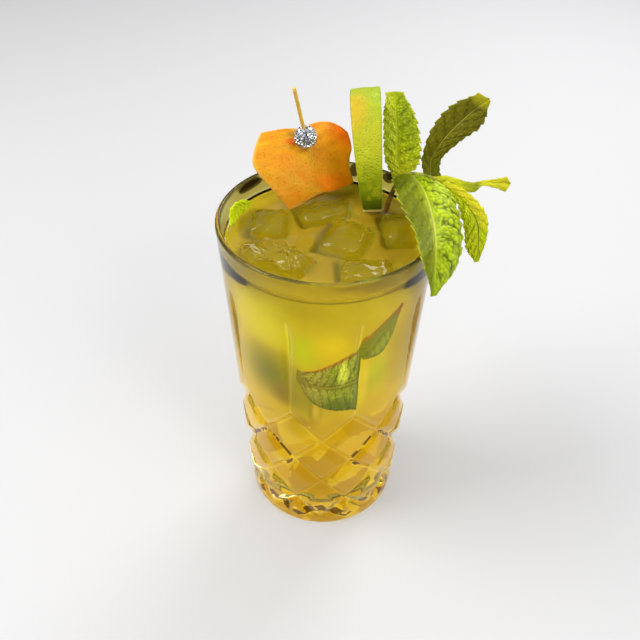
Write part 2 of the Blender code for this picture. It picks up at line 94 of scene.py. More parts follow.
GLASS_TINT = (0.66, 0.59, 0.19, 1.0)
BACK_REFLECTION_TINT = (0.44, 0.37, 0.07, 1.0)
CREASE_HIGHLIGHT = (1.0, 0.96, 0.68, 1.0)
GLINT_DARK = (0.045, 0.022, 0.004, 1.0)
GLINT_PALE = (1.0, 0.95, 0.72, 1.0)
BACK_REFLECTION_DARK = (0.012, 0.006, 0.001, 1.0)
BACK_REFLECTIONS = ((149.5, 147.2, (0.0085, 0.0085, 0.0024)), (82.0, 147.2, (0.0024, 0.0026, 0.0036)),
              (60.0, 147.8, (0.0032, 0.0032, 0.0026)))
UPPER_GLINT_GAP = (0.92, 0.94)
ABOVE_DRINK = (0.1412, 0.1432)
BACK_HALF = (-0.005, 0.020)
INNER_SIDE = (0.0408, 0.0414)
ROUNDED_RIM = (0.1470, 0.1484)
PALE_GLINT = (0.06, 0.14)
PALE_DASH = (0.10, 0.20)
DARK_CORE = (0.30, 0.36)
PALE_BREAKS = (0.42, 0.44)
DARK_BREAKS = (0.46, 0.475)
DASH_BREAKS = (0.40, 0.43)
BROKEN_SCALE = 230.0
FLECK_SCALE = 420.0
SMEAR_ROUGHNESS = 0.04
INNER_ROUGHNESS = 0.30
OUTER_ROUGHNESS = 0.14
GLASS_RIPPLE = 0.00006
WELD = 0.00001


class Plug:
    """One output of a node, or a bare tree. Sums written with it become Math nodes."""

    def __init__(self, tree, socket=None):
        self.tree = tree
        self.socket = socket

    def node(self, kind, settings=None, inputs=None, output=0):
        """New node of a type, with its settings, then the values or links of its sockets."""
        made = self.tree.nodes.new(kind)
        for name, value in (settings or {}).items():
            if name == "stops":
                ramp = made.color_ramp
                ramp.elements.remove(ramp.elements[-1])
                ramp.elements[0].position = value[0][0]
                ramp.elements[0].color = value[0][1]
                for position, colour in value[1:]:
                    ramp.elements.new(position).color = colour
            else:
                setattr(made, name, value)
        for name, value in (inputs or {}).items():
            if isinstance(value, Plug):
                self.tree.links.new(value.socket, made.inputs[name])
            else:
                made.inputs[name].default_value = value
        return Plug(self.tree, made.outputs[output])

    def maths(self, operation, *values):
        return self.node("ShaderNodeMath", {"operation": operation}, dict(enumerate(values)))

    def __add__(self, other):
        return self.maths("ADD", self, other)

    __radd__ = __add__

    def __sub__(self, other):
        return self.maths("SUBTRACT", self, other)

    def __rsub__(self, other):
        return self.maths("SUBTRACT", other, self)

    def __mul__(self, other):
        return self.maths("MULTIPLY", self, other)

    __rmul__ = __mul__

    def __truediv__(self, other):
        return self.maths("DIVIDE", self, other)

    def __rtruediv__(self, other):
        return self.maths("DIVIDE", other, self)

    def __pow__(self, other):
        return self.maths("POWER", self, other)

    def __abs__(self):
        return self.maths("ABSOLUTE", self)

    def least(self, other):
        return self.maths("MINIMUM", self, other)

    def most(self, other):
        return self.maths("MAXIMUM", self, other)

    def rise(self, low, high, smooth=True):
        """0 below low and 1 above high, with a soft or a straight step between."""
        step = "SMOOTHSTEP" if smooth else "LINEAR"
        return self.node("ShaderNodeMapRange", {"interpolation_type": step},
                         {"Value": self, "From Min": low, "From Max": high})

    def fall(self, low, high):
        """1 below low and 0 above high, with a soft step between."""
        return 1.0 - self.rise(low, high)

    def wrap(self, span):
        """Remainder after whole spans, never below 0."""
        return self.maths("FLOORED_MODULO", self, span)

    def mix(self, first, second):
        """Colour from first to second, with this plug as the share."""
        return self.node("ShaderNodeMix", {"data_type": "RGBA"}, {0: self, 6: first, 7: second},
                         output=2)

    def object_place(self):
        return self.node("ShaderNodeTexCoord", output="Object")

    def attribute(self, name):
        return self.node("ShaderNodeAttribute", {"attribute_name": name}, output="Fac")

    def parts(self):
        """The X, Y and Z of a vector plug."""
        made = self.tree.nodes.new("ShaderNodeSeparateXYZ")
        self.tree.links.new(self.socket, made.inputs[0])
        return [Plug(self.tree, socket) for socket in made.outputs]

    def vector(self, *values):
        return self.node("ShaderNodeCombineXYZ", {}, dict(zip("XYZ", values)))

    def cells(self, scale, place=None, output="Distance"):
        return self.node("ShaderNodeTexVoronoi", {},
                         {"Vector": place or self.object_place(), "Scale": scale}, output)

    def clouds(self, scale, detail=2.0, roughness=0.5, place=None):
        return self.node("ShaderNodeTexNoise", {},
                         {"Vector": place or self.object_place(), "Scale": scale,
                          "Detail": detail, "Roughness": roughness})

    def bump(self, height, distance, strength=1.0):
        return self.node("ShaderNodeBump", {},
                         {"Height": height, "Distance": distance, "Strength": strength})


def rgb(red, green, blue):
    """Linear colour, with its alpha, of a screen colour from 0 to 255."""
    screen = [part / 255.0 for part in (red, green, blue)]
    return (*[part / 12.92 if part <= 0.04045 else ((part + 0.055) / 1.055) ** 2.4
              for part in screen], 1.0)


def finish(name, **values):
    """New material with the values of its Principled shader, as material, tree and feed."""
    made = bpy.data.materials.new(name)
    made.use_nodes = True
    shader = made.node_tree.nodes["Principled BSDF"]
    for label, value in values.items():
        shader.inputs[label.replace("_", " ")].default_value = value

    def feed(label, plug):
        made.node_tree.links.new(plug.socket, shader.inputs[label])

    return made, Plug(made.node_tree), feed


def geometry_tree(name, sizes):
    """Geometry Nodes tree with a named input for each size, and the plugs of those inputs."""
    tree = bpy.data.node_groups.new(name, "GeometryNodeTree")
    tree.interface.new_socket("Geometry", in_out="INPUT", socket_type="NodeSocketGeometry")
    for label, value in sizes.items():
        kind = "NodeSocketInt" if isinstance(value, int) else "NodeSocketFloat"
        tree.interface.new_socket(label, in_out="INPUT", socket_type=kind)
    tree.interface.new_socket("Geometry", in_out="OUTPUT", socket_type="NodeSocketGeometry")
    start = tree.nodes.new("NodeGroupInput")
    return tree, {socket.name: Plug(tree, socket) for socket in start.outputs if socket.name}


def end_tree(shape, material):
    """Ends a tree in plain geometry that wears one material."""
    shape = shape.node("GeometryNodeRealizeInstances", {}, {"Geometry": shape})
    shape = shape.node("GeometryNodeSetMaterial", {}, {"Geometry": shape, "Material": material})
    last = shape.tree.nodes.new("NodeGroupOutput")
    shape.tree.links.new(shape.socket, last.inputs[0])


def new_piece(name, mesh, material=None):
    """Object at the origin that shows a mesh, in one material where one is given."""
    piece = bpy.data.objects.new(name, mesh)
    bpy.context.scene.collection.objects.link(piece)
    if material is not None:
        mesh.materials.clear()
        mesh.materials.append(material)
    return piece


def grown(name, base_mesh, tree, sizes):
    """Plain piece made by running a Geometry Nodes tree on a mesh."""
    base = new_piece(name + "_base", base_mesh)
    modifier = base.modifiers.new(tree.name, "NODES")
    modifier.node_group = tree
    for item in tree.interface.items_tree:
        if item.name in sizes:
            modifier[item.identifier] = sizes[item.name]
    bpy.context.view_layer.update()
    graph = bpy.context.evaluated_depsgraph_get()
    mesh = bpy.data.meshes.new_from_object(base.evaluated_get(graph))
    base.modifiers.remove(modifier)
    bpy.data.objects.remove(base, do_unlink=True)
    return new_piece(name, mesh)


def between(pairs, height):
    """Radius at a height on a wall given by (radius, height) pairs."""
    for (low_radius, low), (high_radius, high) in zip(pairs, pairs[1:]):
        if height <= high:
            share = max(height - low, 0.0) / (high - low)
            return low_radius + share * (high_radius - low_radius)
    return pairs[-1][0]


def outer_radius(height):
    """Radius of the uncut outer wall at a height."""
    return RIM_RADIUS - OUTER_SLOPE * (GLASS_HEIGHT - height)


def glass_section():
    """Section of the uncut wall as an edge mesh, with the cut rows marked."""
    points = [(radius, height, 0.0) for radius, height in INNER_FLOOR + INNER_WALL]
    half = RIM_THICKNESS / 2.0
    shoulder = INNER_WALL[-1][1]
    for step in range(1, RIM_STEPS):
        angle = math.pi * (1.0 - step / RIM_STEPS)
        lift = (GLASS_HEIGHT - shoulder) * math.sin(angle)
        points.append((RIM_RADIUS - half + half * math.cos(angle), shoulder + lift, 0.0))
    rows = list(PLAIN_ROWS)
    head = FLUTE_ROWS_HEAD
    while head > FLUTE_ROWS_FOOT:
        rows.append(head)
        head -= FINE_ROW if head > FINE_ROWS_FOOT else COARSE_ROW
    step = CUT_SIZES["Groove rise"] / COLUMNS_IN_HALF_REPEAT
    for count in range(CUT_HEAD_STEPS, -CUT_FOOT_STEPS - 1, -1):
        rows.append(CUT_SIZES["Top crossing"] + count * step)
    points += [(outer_radius(height), height, 1.0) for height in rows]
    points += [(radius, height, 0.0) for radius, height in HEEL]
    mesh = bpy.data.meshes.new("glass_section")
    mesh.from_pydata([(radius, 0.0, height) for radius, height, cut in points],
                     [(row, row + 1) for row in range(len(points) - 1)], [])
    mark = mesh.attributes.new("cut", "FLOAT", "POINT")
    for row, (radius, height, cut) in enumerate(points):
        mark.data[row].value = cut
    return mesh


def cut_depth(size, turn, radius, height):
    """Depth of the cut at an angle from a lower crossing and at a height, and the masks of
    its painted crease highlights and glints.
    """
    half = math.pi / size["Repeats"]
    fold = abs((turn + half).wrap(half * 2.0) - half)
    across = fold / half
    up = (height - size["Top crossing"]) / size["Groove rise"]
    falling = abs((up + across + 1.0).wrap(2.0) - 1.0)
    rising = abs((up - across + 1.0).wrap(2.0) - 1.0)
    above = up.maths("GREATER_THAN", up, across)
    line = above * (up - across) + (1.0 - above) * falling.least(rising)
    away = line * size["Groove rise"] / size["Groove half height"]
    away = (away * away + size["Groove rounding"] ** 2.0) ** 0.5
    inside = 1.0 - away
    inside = (inside + (inside * inside + size["Groove rounding"] ** 2.0) ** 0.5) * 0.5
    fade = height.rise(size["Fade foot"], size["Fade head"], smooth=False)
    groove = inside * size["Groove depth"] * fade
    opening = (height - size["Flute foot"]) / (size["Flute widest"] - size["Flute foot"])
    closing = (height - size["Flute widest"]) / (size["Flute top"] - size["Flute widest"])
    closing = (1.0 - closing.most(0.0) ** 2.0).most(0.0) ** 0.5
    width = opening.least(closing) * size["Flute half width"]
    aside = (half - fold) * radius
    flute = (width - aside) * size["Flute slope"]
    core, edge = size["Crease core"], size["Crease edge"]
    crease = (line * size["Groove rise"]).fall(core, edge) * fade
    crease = crease.most(aside.fall(core, edge) * flute.rise(0.0, core))
    zigzag = size["Glint head"] - across * (size["Glint head"] - size["Glint foot"])
    low = 1.0 - abs(height - zigzag) / size["Glint half width"]
    foot, head = size["Upper glint foot"], size["Upper glint head"]
    part = height.rise(foot, foot + edge) * height.fall(head - edge, head)
    part = part * turn.maths("COSINE", turn).fall(*UPPER_GLINT_GAP)
    high = (1.0 - line * size["Groove rise"] / size["Upper glint half width"]) * part
    return groove.most(flute), {"crease": crease, "glint": low.most(0.0), "dash": high.most(0.0)}


def glass_tree(material):
    """Turns the section round Z and presses the cuts into its marked rows."""
    sizes = dict(CUT_SIZES, Columns=1)
    tree, size = geometry_tree("cut_glass", sizes)
    shape = size["Geometry"]
    rows = shape.node("GeometryNodeAttributeDomainSize", {}, {"Geometry": shape})
    grid = shape.node("GeometryNodeMeshGrid", {},
                      {"Vertices X": size["Columns"] + 1.0, "Vertices Y": rows})
    index = shape.node("GeometryNodeInputIndex")
    row = index.wrap(rows)
    column = index.maths("FLOOR", (index + 0.5) / rows)
    place = shape.node("GeometryNodeInputPosition")
    section = shape.node("GeometryNodeSampleIndex", {"data_type": "FLOAT_VECTOR"},
                         {"Geometry": shape, "Value": place, "Index": row})
    cut = shape.node("GeometryNodeInputNamedAttribute", {"data_type": "FLOAT"}, {"Name": "cut"})
    cut = shape.node("GeometryNodeSampleIndex", {"data_type": "FLOAT"},
                     {"Geometry": shape, "Value": cut, "Index": row})
    radius, height = section.parts()[::2]
    turn = column / size["Columns"] * math.tau
    depth, marks = cut_depth(size, turn, radius, height)
    depth = depth * cut
    angle = turn + size["First crossing"]
    east = angle.maths("COSINE", angle) * (radius - depth)
    north = angle.maths("SINE", angle) * (radius - depth)
    spot = shape.vector(east, north, height)
    shape = grid
    for label, mark in marks.items():
        shape = shape.node("GeometryNodeStoreNamedAttribute", {"data_type": "FLOAT"},
                           {"Geometry": shape, "Name": label, "Value": mark * cut})
    shape = shape.node("GeometryNodeSetPosition", {}, {"Geometry": shape, "Position": spot})
    shape = shape.node("GeometryNodeMergeByDistance", {}, {"Geometry": shape, "Distance": WELD})
    shape = shape.node("GeometryNodeSetShadeSmooth", {}, {"Geometry": shape})
    end_tree(shape, material)
    return tree


def outward(piece):
    """Turns every face of a closed piece outwards."""
    shape = bmesh.new()
    shape.from_mesh(piece.data)
    bmesh.ops.recalc_face_normals(shape, faces=shape.faces)
    shape.to_mesh(piece.data)
    shape.free()


def on_wall(turn, height, inset=0.0):
    """Point an inset inside the inner wall, at an angle in degrees and a height in mm."""
    height = height / MM_IN_METRE
    radius = between(INNER_WALL, height) - inset
    return Vector((radius * math.cos(math.radians(turn)), radius * math.sin(math.radians(turn)),
                   height))


def spot_share(place, centre, reach):
    """1 at a centre, falling softly to 0 at a reach along each axis."""
    east, north, up = place.parts()
    far = None
    for part, middle, size in zip((east, north, up), centre, reach):
        term = ((part - middle) / size) ** 2.0
        far = term if far is None else far + term
    return (1.0 - far).most(0.0) ** 1.5


glass_finish, plug, feed = finish("clear_glass", IOR=1.47, Transmission_Weight=1.0,
                                  Specular_Tint=(0.55, 0.46, 0.14, 1.0))
glint, dash = plug.attribute("glint"), plug.attribute("dash")
broken = plug.clouds(BROKEN_SCALE, 1.0)
flecks = plug.clouds(FLECK_SCALE, 1.0)
east, north, up = plug.object_place().parts()
free = up.rise(*ABOVE_DRINK)
# The back of the glass above the drink is painted darker, as a painted dark reflection.
colour = (free * north.rise(*BACK_HALF)).mix(GLASS_TINT, BACK_REFLECTION_TINT)
# Three dark spots on the back rim are painted dark reflections.
for turn, level, reach in BACK_REFLECTIONS:
    spot = spot_share(plug.object_place(), on_wall(turn, level), reach)
    colour = spot.rise(0.05, 0.30).mix(colour, BACK_REFLECTION_DARK)
# Pale lines along the creases of the grooves and flutes are painted highlights.
colour = (plug.attribute("crease") * 0.8).mix(colour, CREASE_HIGHLIGHT)
# Dark blocks round the foot of the cut and dark dashes higher up are painted reflections, and
# their pale borders and ends are painted highlights.
pale = (glint.rise(*PALE_GLINT) * broken.rise(*PALE_BREAKS)).most(dash.rise(*PALE_DASH))
dark = glint.rise(*DARK_CORE) * broken.rise(*DARK_BREAKS)
dark = dark.most(dash.rise(*DARK_CORE) * flecks.rise(*DASH_BREAKS))
colour = pale.mix(colour, GLINT_PALE)
colour = dark.mix(colour, GLINT_DARK)
feed("Base Color", colour)
smear = plug.clouds(55.0, 3.0)
inside = ((east * east + north * north) ** 0.5).fall(*INNER_SIDE)
band = free * up.fall(*ROUNDED_RIM)
feed("Roughness", smear.rise(0.45, 0.8) * SMEAR_ROUGHNESS + free * inside * INNER_ROUGHNESS
     + band * (1.0 - inside) * OUTER_ROUGHNESS)
feed("Normal", plug.bump(plug.clouds(90.0, 1.0), GLASS_RIPPLE))
glass = grown("glass_cut", glass_section(), glass_tree(glass_finish),
              dict(CUT_SIZES, Columns=2 * COLUMNS_IN_HALF_REPEAT * CUT_SIZES["Repeats"]))
outward(glass)
glass.visible_shadow = False
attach(glass, "root")
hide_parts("glass")

# Six pieces of wet ice float with their tops just out of the drink, a broken lump at the
# front left and five blocks with worn corners. They are clear, with a little frost inside.
ICE = (
    ("ice_left_back", (-0.0238, 0.0052, 0.1335), (0.0150, 0.0175, 0.019), 5.0, 0.0008),
    ("ice_front_left", (-0.0165, -0.0170, 0.1340), (0.0250, 0.0160, 0.019), -25.0, 0.0034),
    ("ice_centre", (0.0076, 0.0, 0.1330), (0.0175, 0.0210, 0.021), -12.0, 0.0008),
    ("ice_front_right", (0.0180, -0.0205, 0.1335), (0.0200, 0.0140, 0.019), 10.0, 0.0009),
    ("ice_right_back", (0.0272, 0.0090, 0.1340), (0.0130, 0.0195, 0.019), 15.0, 0.0008),
    ("ice_back_centre", (-0.0035, 0.0165, 0.1335), (0.0210, 0.0125, 0.019), 30.0, 0.0009),
)
ICE_CUTS = 17
ICE_ROUNDING = 5.0
ICE_WEAR = (1.7, (7.3, 2.1, 0.4), 1.0)
ICE_CHIPS = (4.0, (3.1, 0.7, 9.4), 0.45)
ICE_CLEAR = rgb(222, 200, 48)
ICE_FROST = rgb(226, 210, 82)
WANDER_SHIFTS = ((0.0, 0.0, 0.0), (9.3, -1.5, -7.9), (-5.1, 6.8, 3.4))


def wander_at(spot):
    """Push of three smooth noises, the same in every run."""
    return Vector([noise.noise(spot + Vector(shift)) for shift in WANDER_SHIFTS])


def build_ice(seed, name, centre, size, turn, rough, material):
    """Block of ice with rounded corners, worn and chipped as roughly as it says."""
    shape = bmesh.new()
    bmesh.ops.create_cube(shape, size=2.0)
    bmesh.ops.subdivide_edges(shape, edges=shape.edges, cuts=ICE_CUTS, use_grid_fill=True)
    half = Vector(size) / 2.0
    for vert in shape.verts:
        reach = sum(abs(part) ** ICE_ROUNDING for part in vert.co) ** (1.0 / ICE_ROUNDING)
        spot = vert.co / reach
        vert.co = [spot[axis] * half[axis] for axis in range(3)]
        for scale, (east, north, up), share in (ICE_WEAR, ICE_CHIPS):
            start = Vector((seed * east, north, up))
            vert.co += wander_at(spot * scale + start) * rough * share
    bmesh.ops.transform(shape, verts=shape.verts, matrix=Matrix.Translation(centre)
                        @ Matrix.Rotation(math.radians(turn), 4, "Z"))
    mesh = bpy.data.meshes.new(name + "_clear")
    shape.to_mesh(mesh)
    shape.free()
    mesh.shade_smooth()
    block = new_piece(name + "_clear", mesh, material)
    block.visible_shadow = False
    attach(block, "root")
    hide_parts(name)


ice_finish, plug, feed = finish("wet_ice", IOR=1.14, Transmission_Weight=0.94, Coat_Weight=0.40,
                                Coat_Roughness=0.04, Coat_IOR=1.4)
frost = plug.clouds(160.0, 3.0).rise(0.5, 0.75)
feed("Base Color", frost.mix(ICE_CLEAR, ICE_FROST))
feed("Roughness", frost * 0.18 + 0.02)
feed("Normal", plug.bump(plug.clouds(190.0, 2.0), 0.0006))
for seed, block in enumerate(ICE):
    build_ice(seed, *block, ice_finish)

# The drink is rum, lime juice and soda, clouded by pulp and syrup. Its clear outer part wets
# the wall, rising a little where it touches the glass, and the pulp hangs as a soft cloud
# just inside it, olive at the top and golden towards the bottom.
DRINK_LEVEL = 0.141
INTO_WALL = 0.00015
MENISCUS_RISE = 0.0010
MENISCUS = ((0.0004, 0.00055), (0.0010, 0.00025), (0.0020, 0.00008), (0.0035, 0.0))
LEVEL_RING = 0.0200
DRINK_COLUMNS = 144
DRINK_RINGS = (0.125, 0.110, 0.090, 0.070, 0.050, 0.030, 0.0195)
CLOUD_INSIDE = 0.0014
CLOUD_TOP = 0.1394
CLOUD_BRIM = 0.1406
CLOUD_EDGE = 0.00002
CLOUD_EDGE_FROM = 0.128
CLOUD_EDGE_FULL = 0.1384
CLOUD_BRIM_SHARE = 0.1
CLOUD_TOP_RINGS = 30
CLOUD_UNDER_ICE = 0.0042
CLOUD_FLAT_RINGS = 3
CLOUD_CALM = 0.01
CLOUD_BILLOW = (60.0, 0.0003)
CLOUD_RIPPLE = (110.0, 0.0012)
ICE_SHADE_REACH = 1.25
ICE_SHADE_FALL = 0.30
CLOUD_HEIGHTS = (0.0142, 0.0150, 0.0165, 0.0195, *[0.026 + 0.008 * row for row in range(13)],
                 0.128, 0.133, 0.1365, 0.1375, 0.1384, 0.1390, 0.1396, 0.1401, 0.1406)


def skin(name, rings, material, marks=None, smooth=True):
    """Closed piece over rings of points, with a pole at each end, and marks for each ring."""
    count = len(rings[0])
    points = [sum(rings[0], Vector()) / count]
    for ring in rings:
        points += ring
    points.append(sum(rings[-1], Vector()) / count)
    faces = []
    for column in range(count):
        after = (column + 1) % count
        faces.append((0, 1 + after, 1 + column))
        for row in range(len(rings) - 1):
            start = 1 + row * count
            faces.append((start + column, start + after, start + count + after,
                          start + count + column))
        start = 1 + (len(rings) - 1) * count
        faces.append((start + column, start + after, start + count))
    mesh = bpy.data.meshes.new(name)
    mesh.from_pydata(points, [], faces)
    for label, values in (marks or {}).items():
        layer = mesh.attributes.new(label, "FLOAT", "POINT")
        flat = [values[0][0]] + [value for ring in values for value in ring] + [values[-1][0]]
        layer.data.foreach_set("value", flat)
    piece = new_piece(name, mesh, material)
    outward(piece)
    for face in mesh.polygons:
        face.use_smooth = smooth
    return piece


def ring_of(radius, height, columns):
    """Points of a level circle round Z."""
    return [Vector((radius * math.cos(step * math.tau / columns),
                    radius * math.sin(step * math.tau / columns), height))
            for step in range(columns)]


def build_liquid(material):
    """Clear outer part of the drink, with its meniscus, reaching just into the wall."""
    wall = between(INNER_WALL, DRINK_LEVEL) + INTO_WALL
    section = [(LEVEL_RING, DRINK_LEVEL)]
    section += [(wall - inset, DRINK_LEVEL + lift) for inset, lift in reversed(MENISCUS)]
    section.append((wall, DRINK_LEVEL + MENISCUS_RISE))
    section += [(between(INNER_WALL, height) + INTO_WALL, height) for height in DRINK_RINGS]
    section += [(radius, height - INTO_WALL) for radius, height in
                (INNER_WALL[1], INNER_WALL[0], INNER_FLOOR[2], INNER_FLOOR[1])]
    rings = [ring_of(radius, height, DRINK_COLUMNS) for radius, height in section]
    return skin("drink_liquid", rings, material)


def under_ice(point):
    """1 where the cloud hangs under a piece of ice, falling softly to 0 beside it."""
    most = 0.0
    for _, centre, size, turn, _ in ICE:
        local = Matrix.Rotation(-math.radians(turn), 3, "Z") @ (point - Vector(centre))
        aside = max(abs(local.x) / size[0], abs(local.y) / size[1]) * 2.0
        most = max(most, min((ICE_SHADE_REACH - aside) / ICE_SHADE_FALL, 1.0))
    return most * most * (3.0 - 2.0 * most)


def build_cloud(material):
    """Pulp just inside the wall, with a rippled top that sinks under the ice."""
    rings, top_marks, ice_marks = [], [], []
    billow_scale, billow = CLOUD_BILLOW
    ripple_scale, ripple = CLOUD_RIPPLE
    ripple_start = Vector((4.0, 0.0, 0.0))
    for height in CLOUD_HEIGHTS:
        rise = (height - CLOUD_EDGE_FROM) / (CLOUD_EDGE_FULL - CLOUD_EDGE_FROM)
        rise = min(max(rise, 0.0), 1.0)
        inset = CLOUD_INSIDE + (CLOUD_EDGE - CLOUD_INSIDE) * rise
        rings.append(ring_of(between(INNER_WALL, height) - inset, height, DRINK_COLUMNS))
    wall_rings = len(rings)
    top = between(INNER_WALL, CLOUD_BRIM) - CLOUD_EDGE
    for step in range(CLOUD_TOP_RINGS - 1, 0, -1):
        share = step / CLOUD_TOP_RINGS
        brim = max(1.0 - (1.0 - share) / CLOUD_BRIM_SHARE, 0.0) ** 2.0
        rings.append(ring_of(top * share, CLOUD_TOP + (CLOUD_BRIM - CLOUD_TOP) * brim,
                             DRINK_COLUMNS))
    for row, ring in enumerate(rings):
        on_top = row >= wall_rings - 2
        top_marks.append([float(on_top)] * DRINK_COLUMNS)
        ice_marks.append([under_ice(point) if on_top else 0.0 for point in ring])
        for point, drop in zip(ring, ice_marks[-1]):
            calm = min(max((CLOUD_TOP - point.z) / CLOUD_CALM, 0.0), 1.0)
            push = noise.noise(point * billow_scale) * billow * calm
            point += Vector((point.x, point.y, 0.0)).normalized() * push
            if row >= wall_rings + CLOUD_FLAT_RINGS:
                point.z += noise.noise(point * ripple_scale + ripple_start) * ripple
                point.z -= drop * CLOUD_UNDER_ICE
    return skin("drink_cloud", rings, material, {"top": top_marks, "ice": ice_marks})


liquid_finish, plug, feed = finish("drink_clear", Base_Color=(0.93, 0.89, 0.55, 1.0),
                                   Roughness=0.0, IOR=1.333, Transmission_Weight=1.0,
                                   Specular_Tint=(0.3, 0.3, 0.3, 1.0))
feed("Normal", plug.bump(plug.clouds(130.0, 2.0), 0.00012))
liquid = build_liquid(liquid_finish)
liquid.visible_shadow = False

CLOUD_STOPS = ((0.0, rgb(236, 194, 30)), (0.30, rgb(234, 198, 32)), (0.50, rgb(230, 204, 36)),
               (0.75, rgb(226, 210, 46)), (1.0, rgb(220, 208, 50)))
# Soft spots on the cloud: some are murk in the drink, and some are painted light, a glow at the
# front, a pale strip and a pale teardrop in a darker ring as painted highlights, a painted leaf
# shadow, and tall darker spots at the sides as painted shade.
CLOUD_MURK_AND_LIGHT = (
    (-118.0, 124.0, (0.016, 0.016, 0.018), rgb(234, 232, 74)),
    (-118.0, 97.0, (0.017, 0.017, 0.019), rgb(128, 138, 12)),
    (-106.0, 87.0, (0.009, 0.009, 0.010), rgb(146, 122, 24)),
    (-93.0, 114.0, (0.009, 0.009, 0.012), rgb(214, 232, 10)),
    (-79.0, 116.0, (0.009, 0.009, 0.010), rgb(250, 232, 8)),
    (-95.0, 88.0, (0.009, 0.009, 0.018), rgb(178, 172, 56)),
    (-47.0, 97.0, (0.008, 0.008, 0.014), rgb(208, 222, 16)),
    (-57.0, 93.0, (0.0032, 0.0032, 0.022), rgb(250, 236, 100)),
    (-30.0, 110.0, (0.010, 0.010, 0.030), rgb(196, 178, 34)),
    (-153.0, 112.0, (0.011, 0.011, 0.045), rgb(166, 148, 12)),
    (-12.0, 112.0, (0.012, 0.012, 0.045), rgb(150, 120, 8)),
    (-100.0, 67.0, (0.008, 0.008, 0.010), rgb(164, 132, 10)),
    (-87.4, 80.0, (0.0034, 0.0034, 0.0125), rgb(150, 146, 10)),
    (-86.6, 79.5, (0.0024, 0.0024, 0.0105), rgb(238, 214, 96)),
)
CLOUD_SPAN = (0.014, 0.136)
CLOUD_STREAK = rgb(172, 150, 30)
TOP_GOLD = rgb(128, 106, 8)
TOP_ICE_SHADE = rgb(118, 110, 8)
TOP_EDGE_LIGHT = rgb(150, 134, 12)
TOP_FRONT_LIGHT = rgb(168, 154, 18)
TOP_EDGE_BAND = (0.029, 0.039)
TOP_FRONT_BAND = (-0.037, -0.024)
FACET_HEAD = (0.066, 0.078)
FACET_SCALE = 95.0
FACET_SHARE = 0.55
FACET_SHADE = rgb(192, 150, 16)
FACET_HIGHLIGHT = rgb(250, 226, 104)
GLOW_FLOOR_HEAD = (0.016, 0.026)
GLOW_WALL = 0.5
GLOW_FLOOR = 1.0
GLOW_TOP = 0.12
cloud_finish, plug, feed = finish("drink_cloud", Roughness=0.75, Specular_IOR_Level=0.2,
                                  Emission_Strength=1.0)
place = plug.object_place()
east, north, up = place.parts()
wander = plug.clouds(35.0, 3.0) - 0.5
share = up.rise(*CLOUD_SPAN, smooth=False) + wander * 0.18
colour = plug.node("ShaderNodeValToRGB", {"stops": CLOUD_STOPS}, {0: share})
for turn, height, reach, tint in CLOUD_MURK_AND_LIGHT:
    colour = spot_share(place, on_wall(turn, height, CLOUD_INSIDE), reach).mix(colour, tint)
streaks = plug.clouds(22.0, 3.0, 0.6) + plug.clouds(90.0, 2.0) * 0.4
colour = (streaks.rise(0.55, 0.95) * 0.30).mix(colour, CLOUD_STREAK)
# Near the bottom the cloud is painted in darker and lighter cells, as painted shade and highlights
# of the cut facets in front of it.
facet = plug.cells(FACET_SCALE, place, "Color").parts()[0]
low = up.fall(*FACET_HEAD) * FACET_SHARE
colour = (low * facet.rise(0.55, 0.65)).mix(colour, FACET_SHADE)
colour = (low * facet.fall(0.30, 0.40)).mix(colour, FACET_HIGHLIGHT)
# The top is painted olive under and beside the ice, as painted shade, broken by random blotches.
surface = (plug.attribute("ice") + wander * 0.9).rise(0.0, 0.8).mix(TOP_GOLD, TOP_ICE_SHADE)
out = (east * east + north * north) ** 0.5
# The top is painted lighter near the wall and towards the front, as painted light.
surface = (out.rise(*TOP_EDGE_BAND) * 0.8).mix(surface, TOP_EDGE_LIGHT)
surface = (north.fall(*TOP_FRONT_BAND) * 0.7).mix(surface, TOP_FRONT_LIGHT)
top = plug.attribute("top")
colour = top.mix(colour, surface)
# The cloud glows in its own colour as painted light, most at the floor, less up the wall and least
# on its top.
glow = GLOW_FLOOR - up.rise(*GLOW_FLOOR_HEAD) * (GLOW_FLOOR - GLOW_WALL)
glow = glow - top * (GLOW_WALL - GLOW_TOP)
feed("Base Color", colour)
feed("Emission Color", glow.mix(rgb(0, 0, 0), colour))
feed("Normal", plug.bump(plug.clouds(240.0, 3.0), 0.0004, 0.5))
cloud = build_cloud(cloud_finish)
for piece in (liquid, cloud):
    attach(piece, "root")
    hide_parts("drink")

# A broad strip of orange peel, cut by hand, leans back over the drink. Its pored skin faces
# the front, with the pale pith behind it, and it holds its curl on the pick.
PEEL_FOOT = Vector((-0.0182, 0.0177, 0.1405))
PEEL_ACROSS = Vector((0.8056, 0.5925, 0.0))
PEEL_LEAN_LOW = math.radians(8.0)
PEEL_CURL = math.radians(52.0) / 0.030
PEEL_THICKNESS = 0.0026
PEEL_BULGE = 0.0025
PEEL_MIDDLE = 0.012
PEEL_HALF_WIDTH = 0.020
PEEL_DENT = (0.0107, 0.0233)
PEEL_DENT_DEPTH = 0.0008
PEEL_DENT_REACH = 0.005
PEEL_SPAN = (34.0, 30.0)
PEEL_BUMPS = ((0.28, 0.00035), (1.3, 0.00006))
PEEL_LEFT = ((-0.0007, -0.0005), (-0.0105, 0.0175), (-0.0088, 0.0255), (-0.0038, 0.0315))
PEEL_TOP = ((-0.0038, 0.0315), (0.0040, 0.0304), (0.0123, 0.0291), (0.0209, 0.0299),
            (0.0273, 0.0283), (0.0322, 0.0234))
PEEL_RIGHT = ((0.0298, 0.0035), (0.0286, 0.0105), (0.0319, 0.0176), (0.0322, 0.0234))
PEEL_BOTTOM = ((-0.0007, -0.0005), (0.0119, 0.0031), (0.0202, 0.0026), (0.0298, 0.0035))
PEEL_GRID = (72, 64)
FRONT_AND_UP = Vector((0.0, -0.75, 0.66))
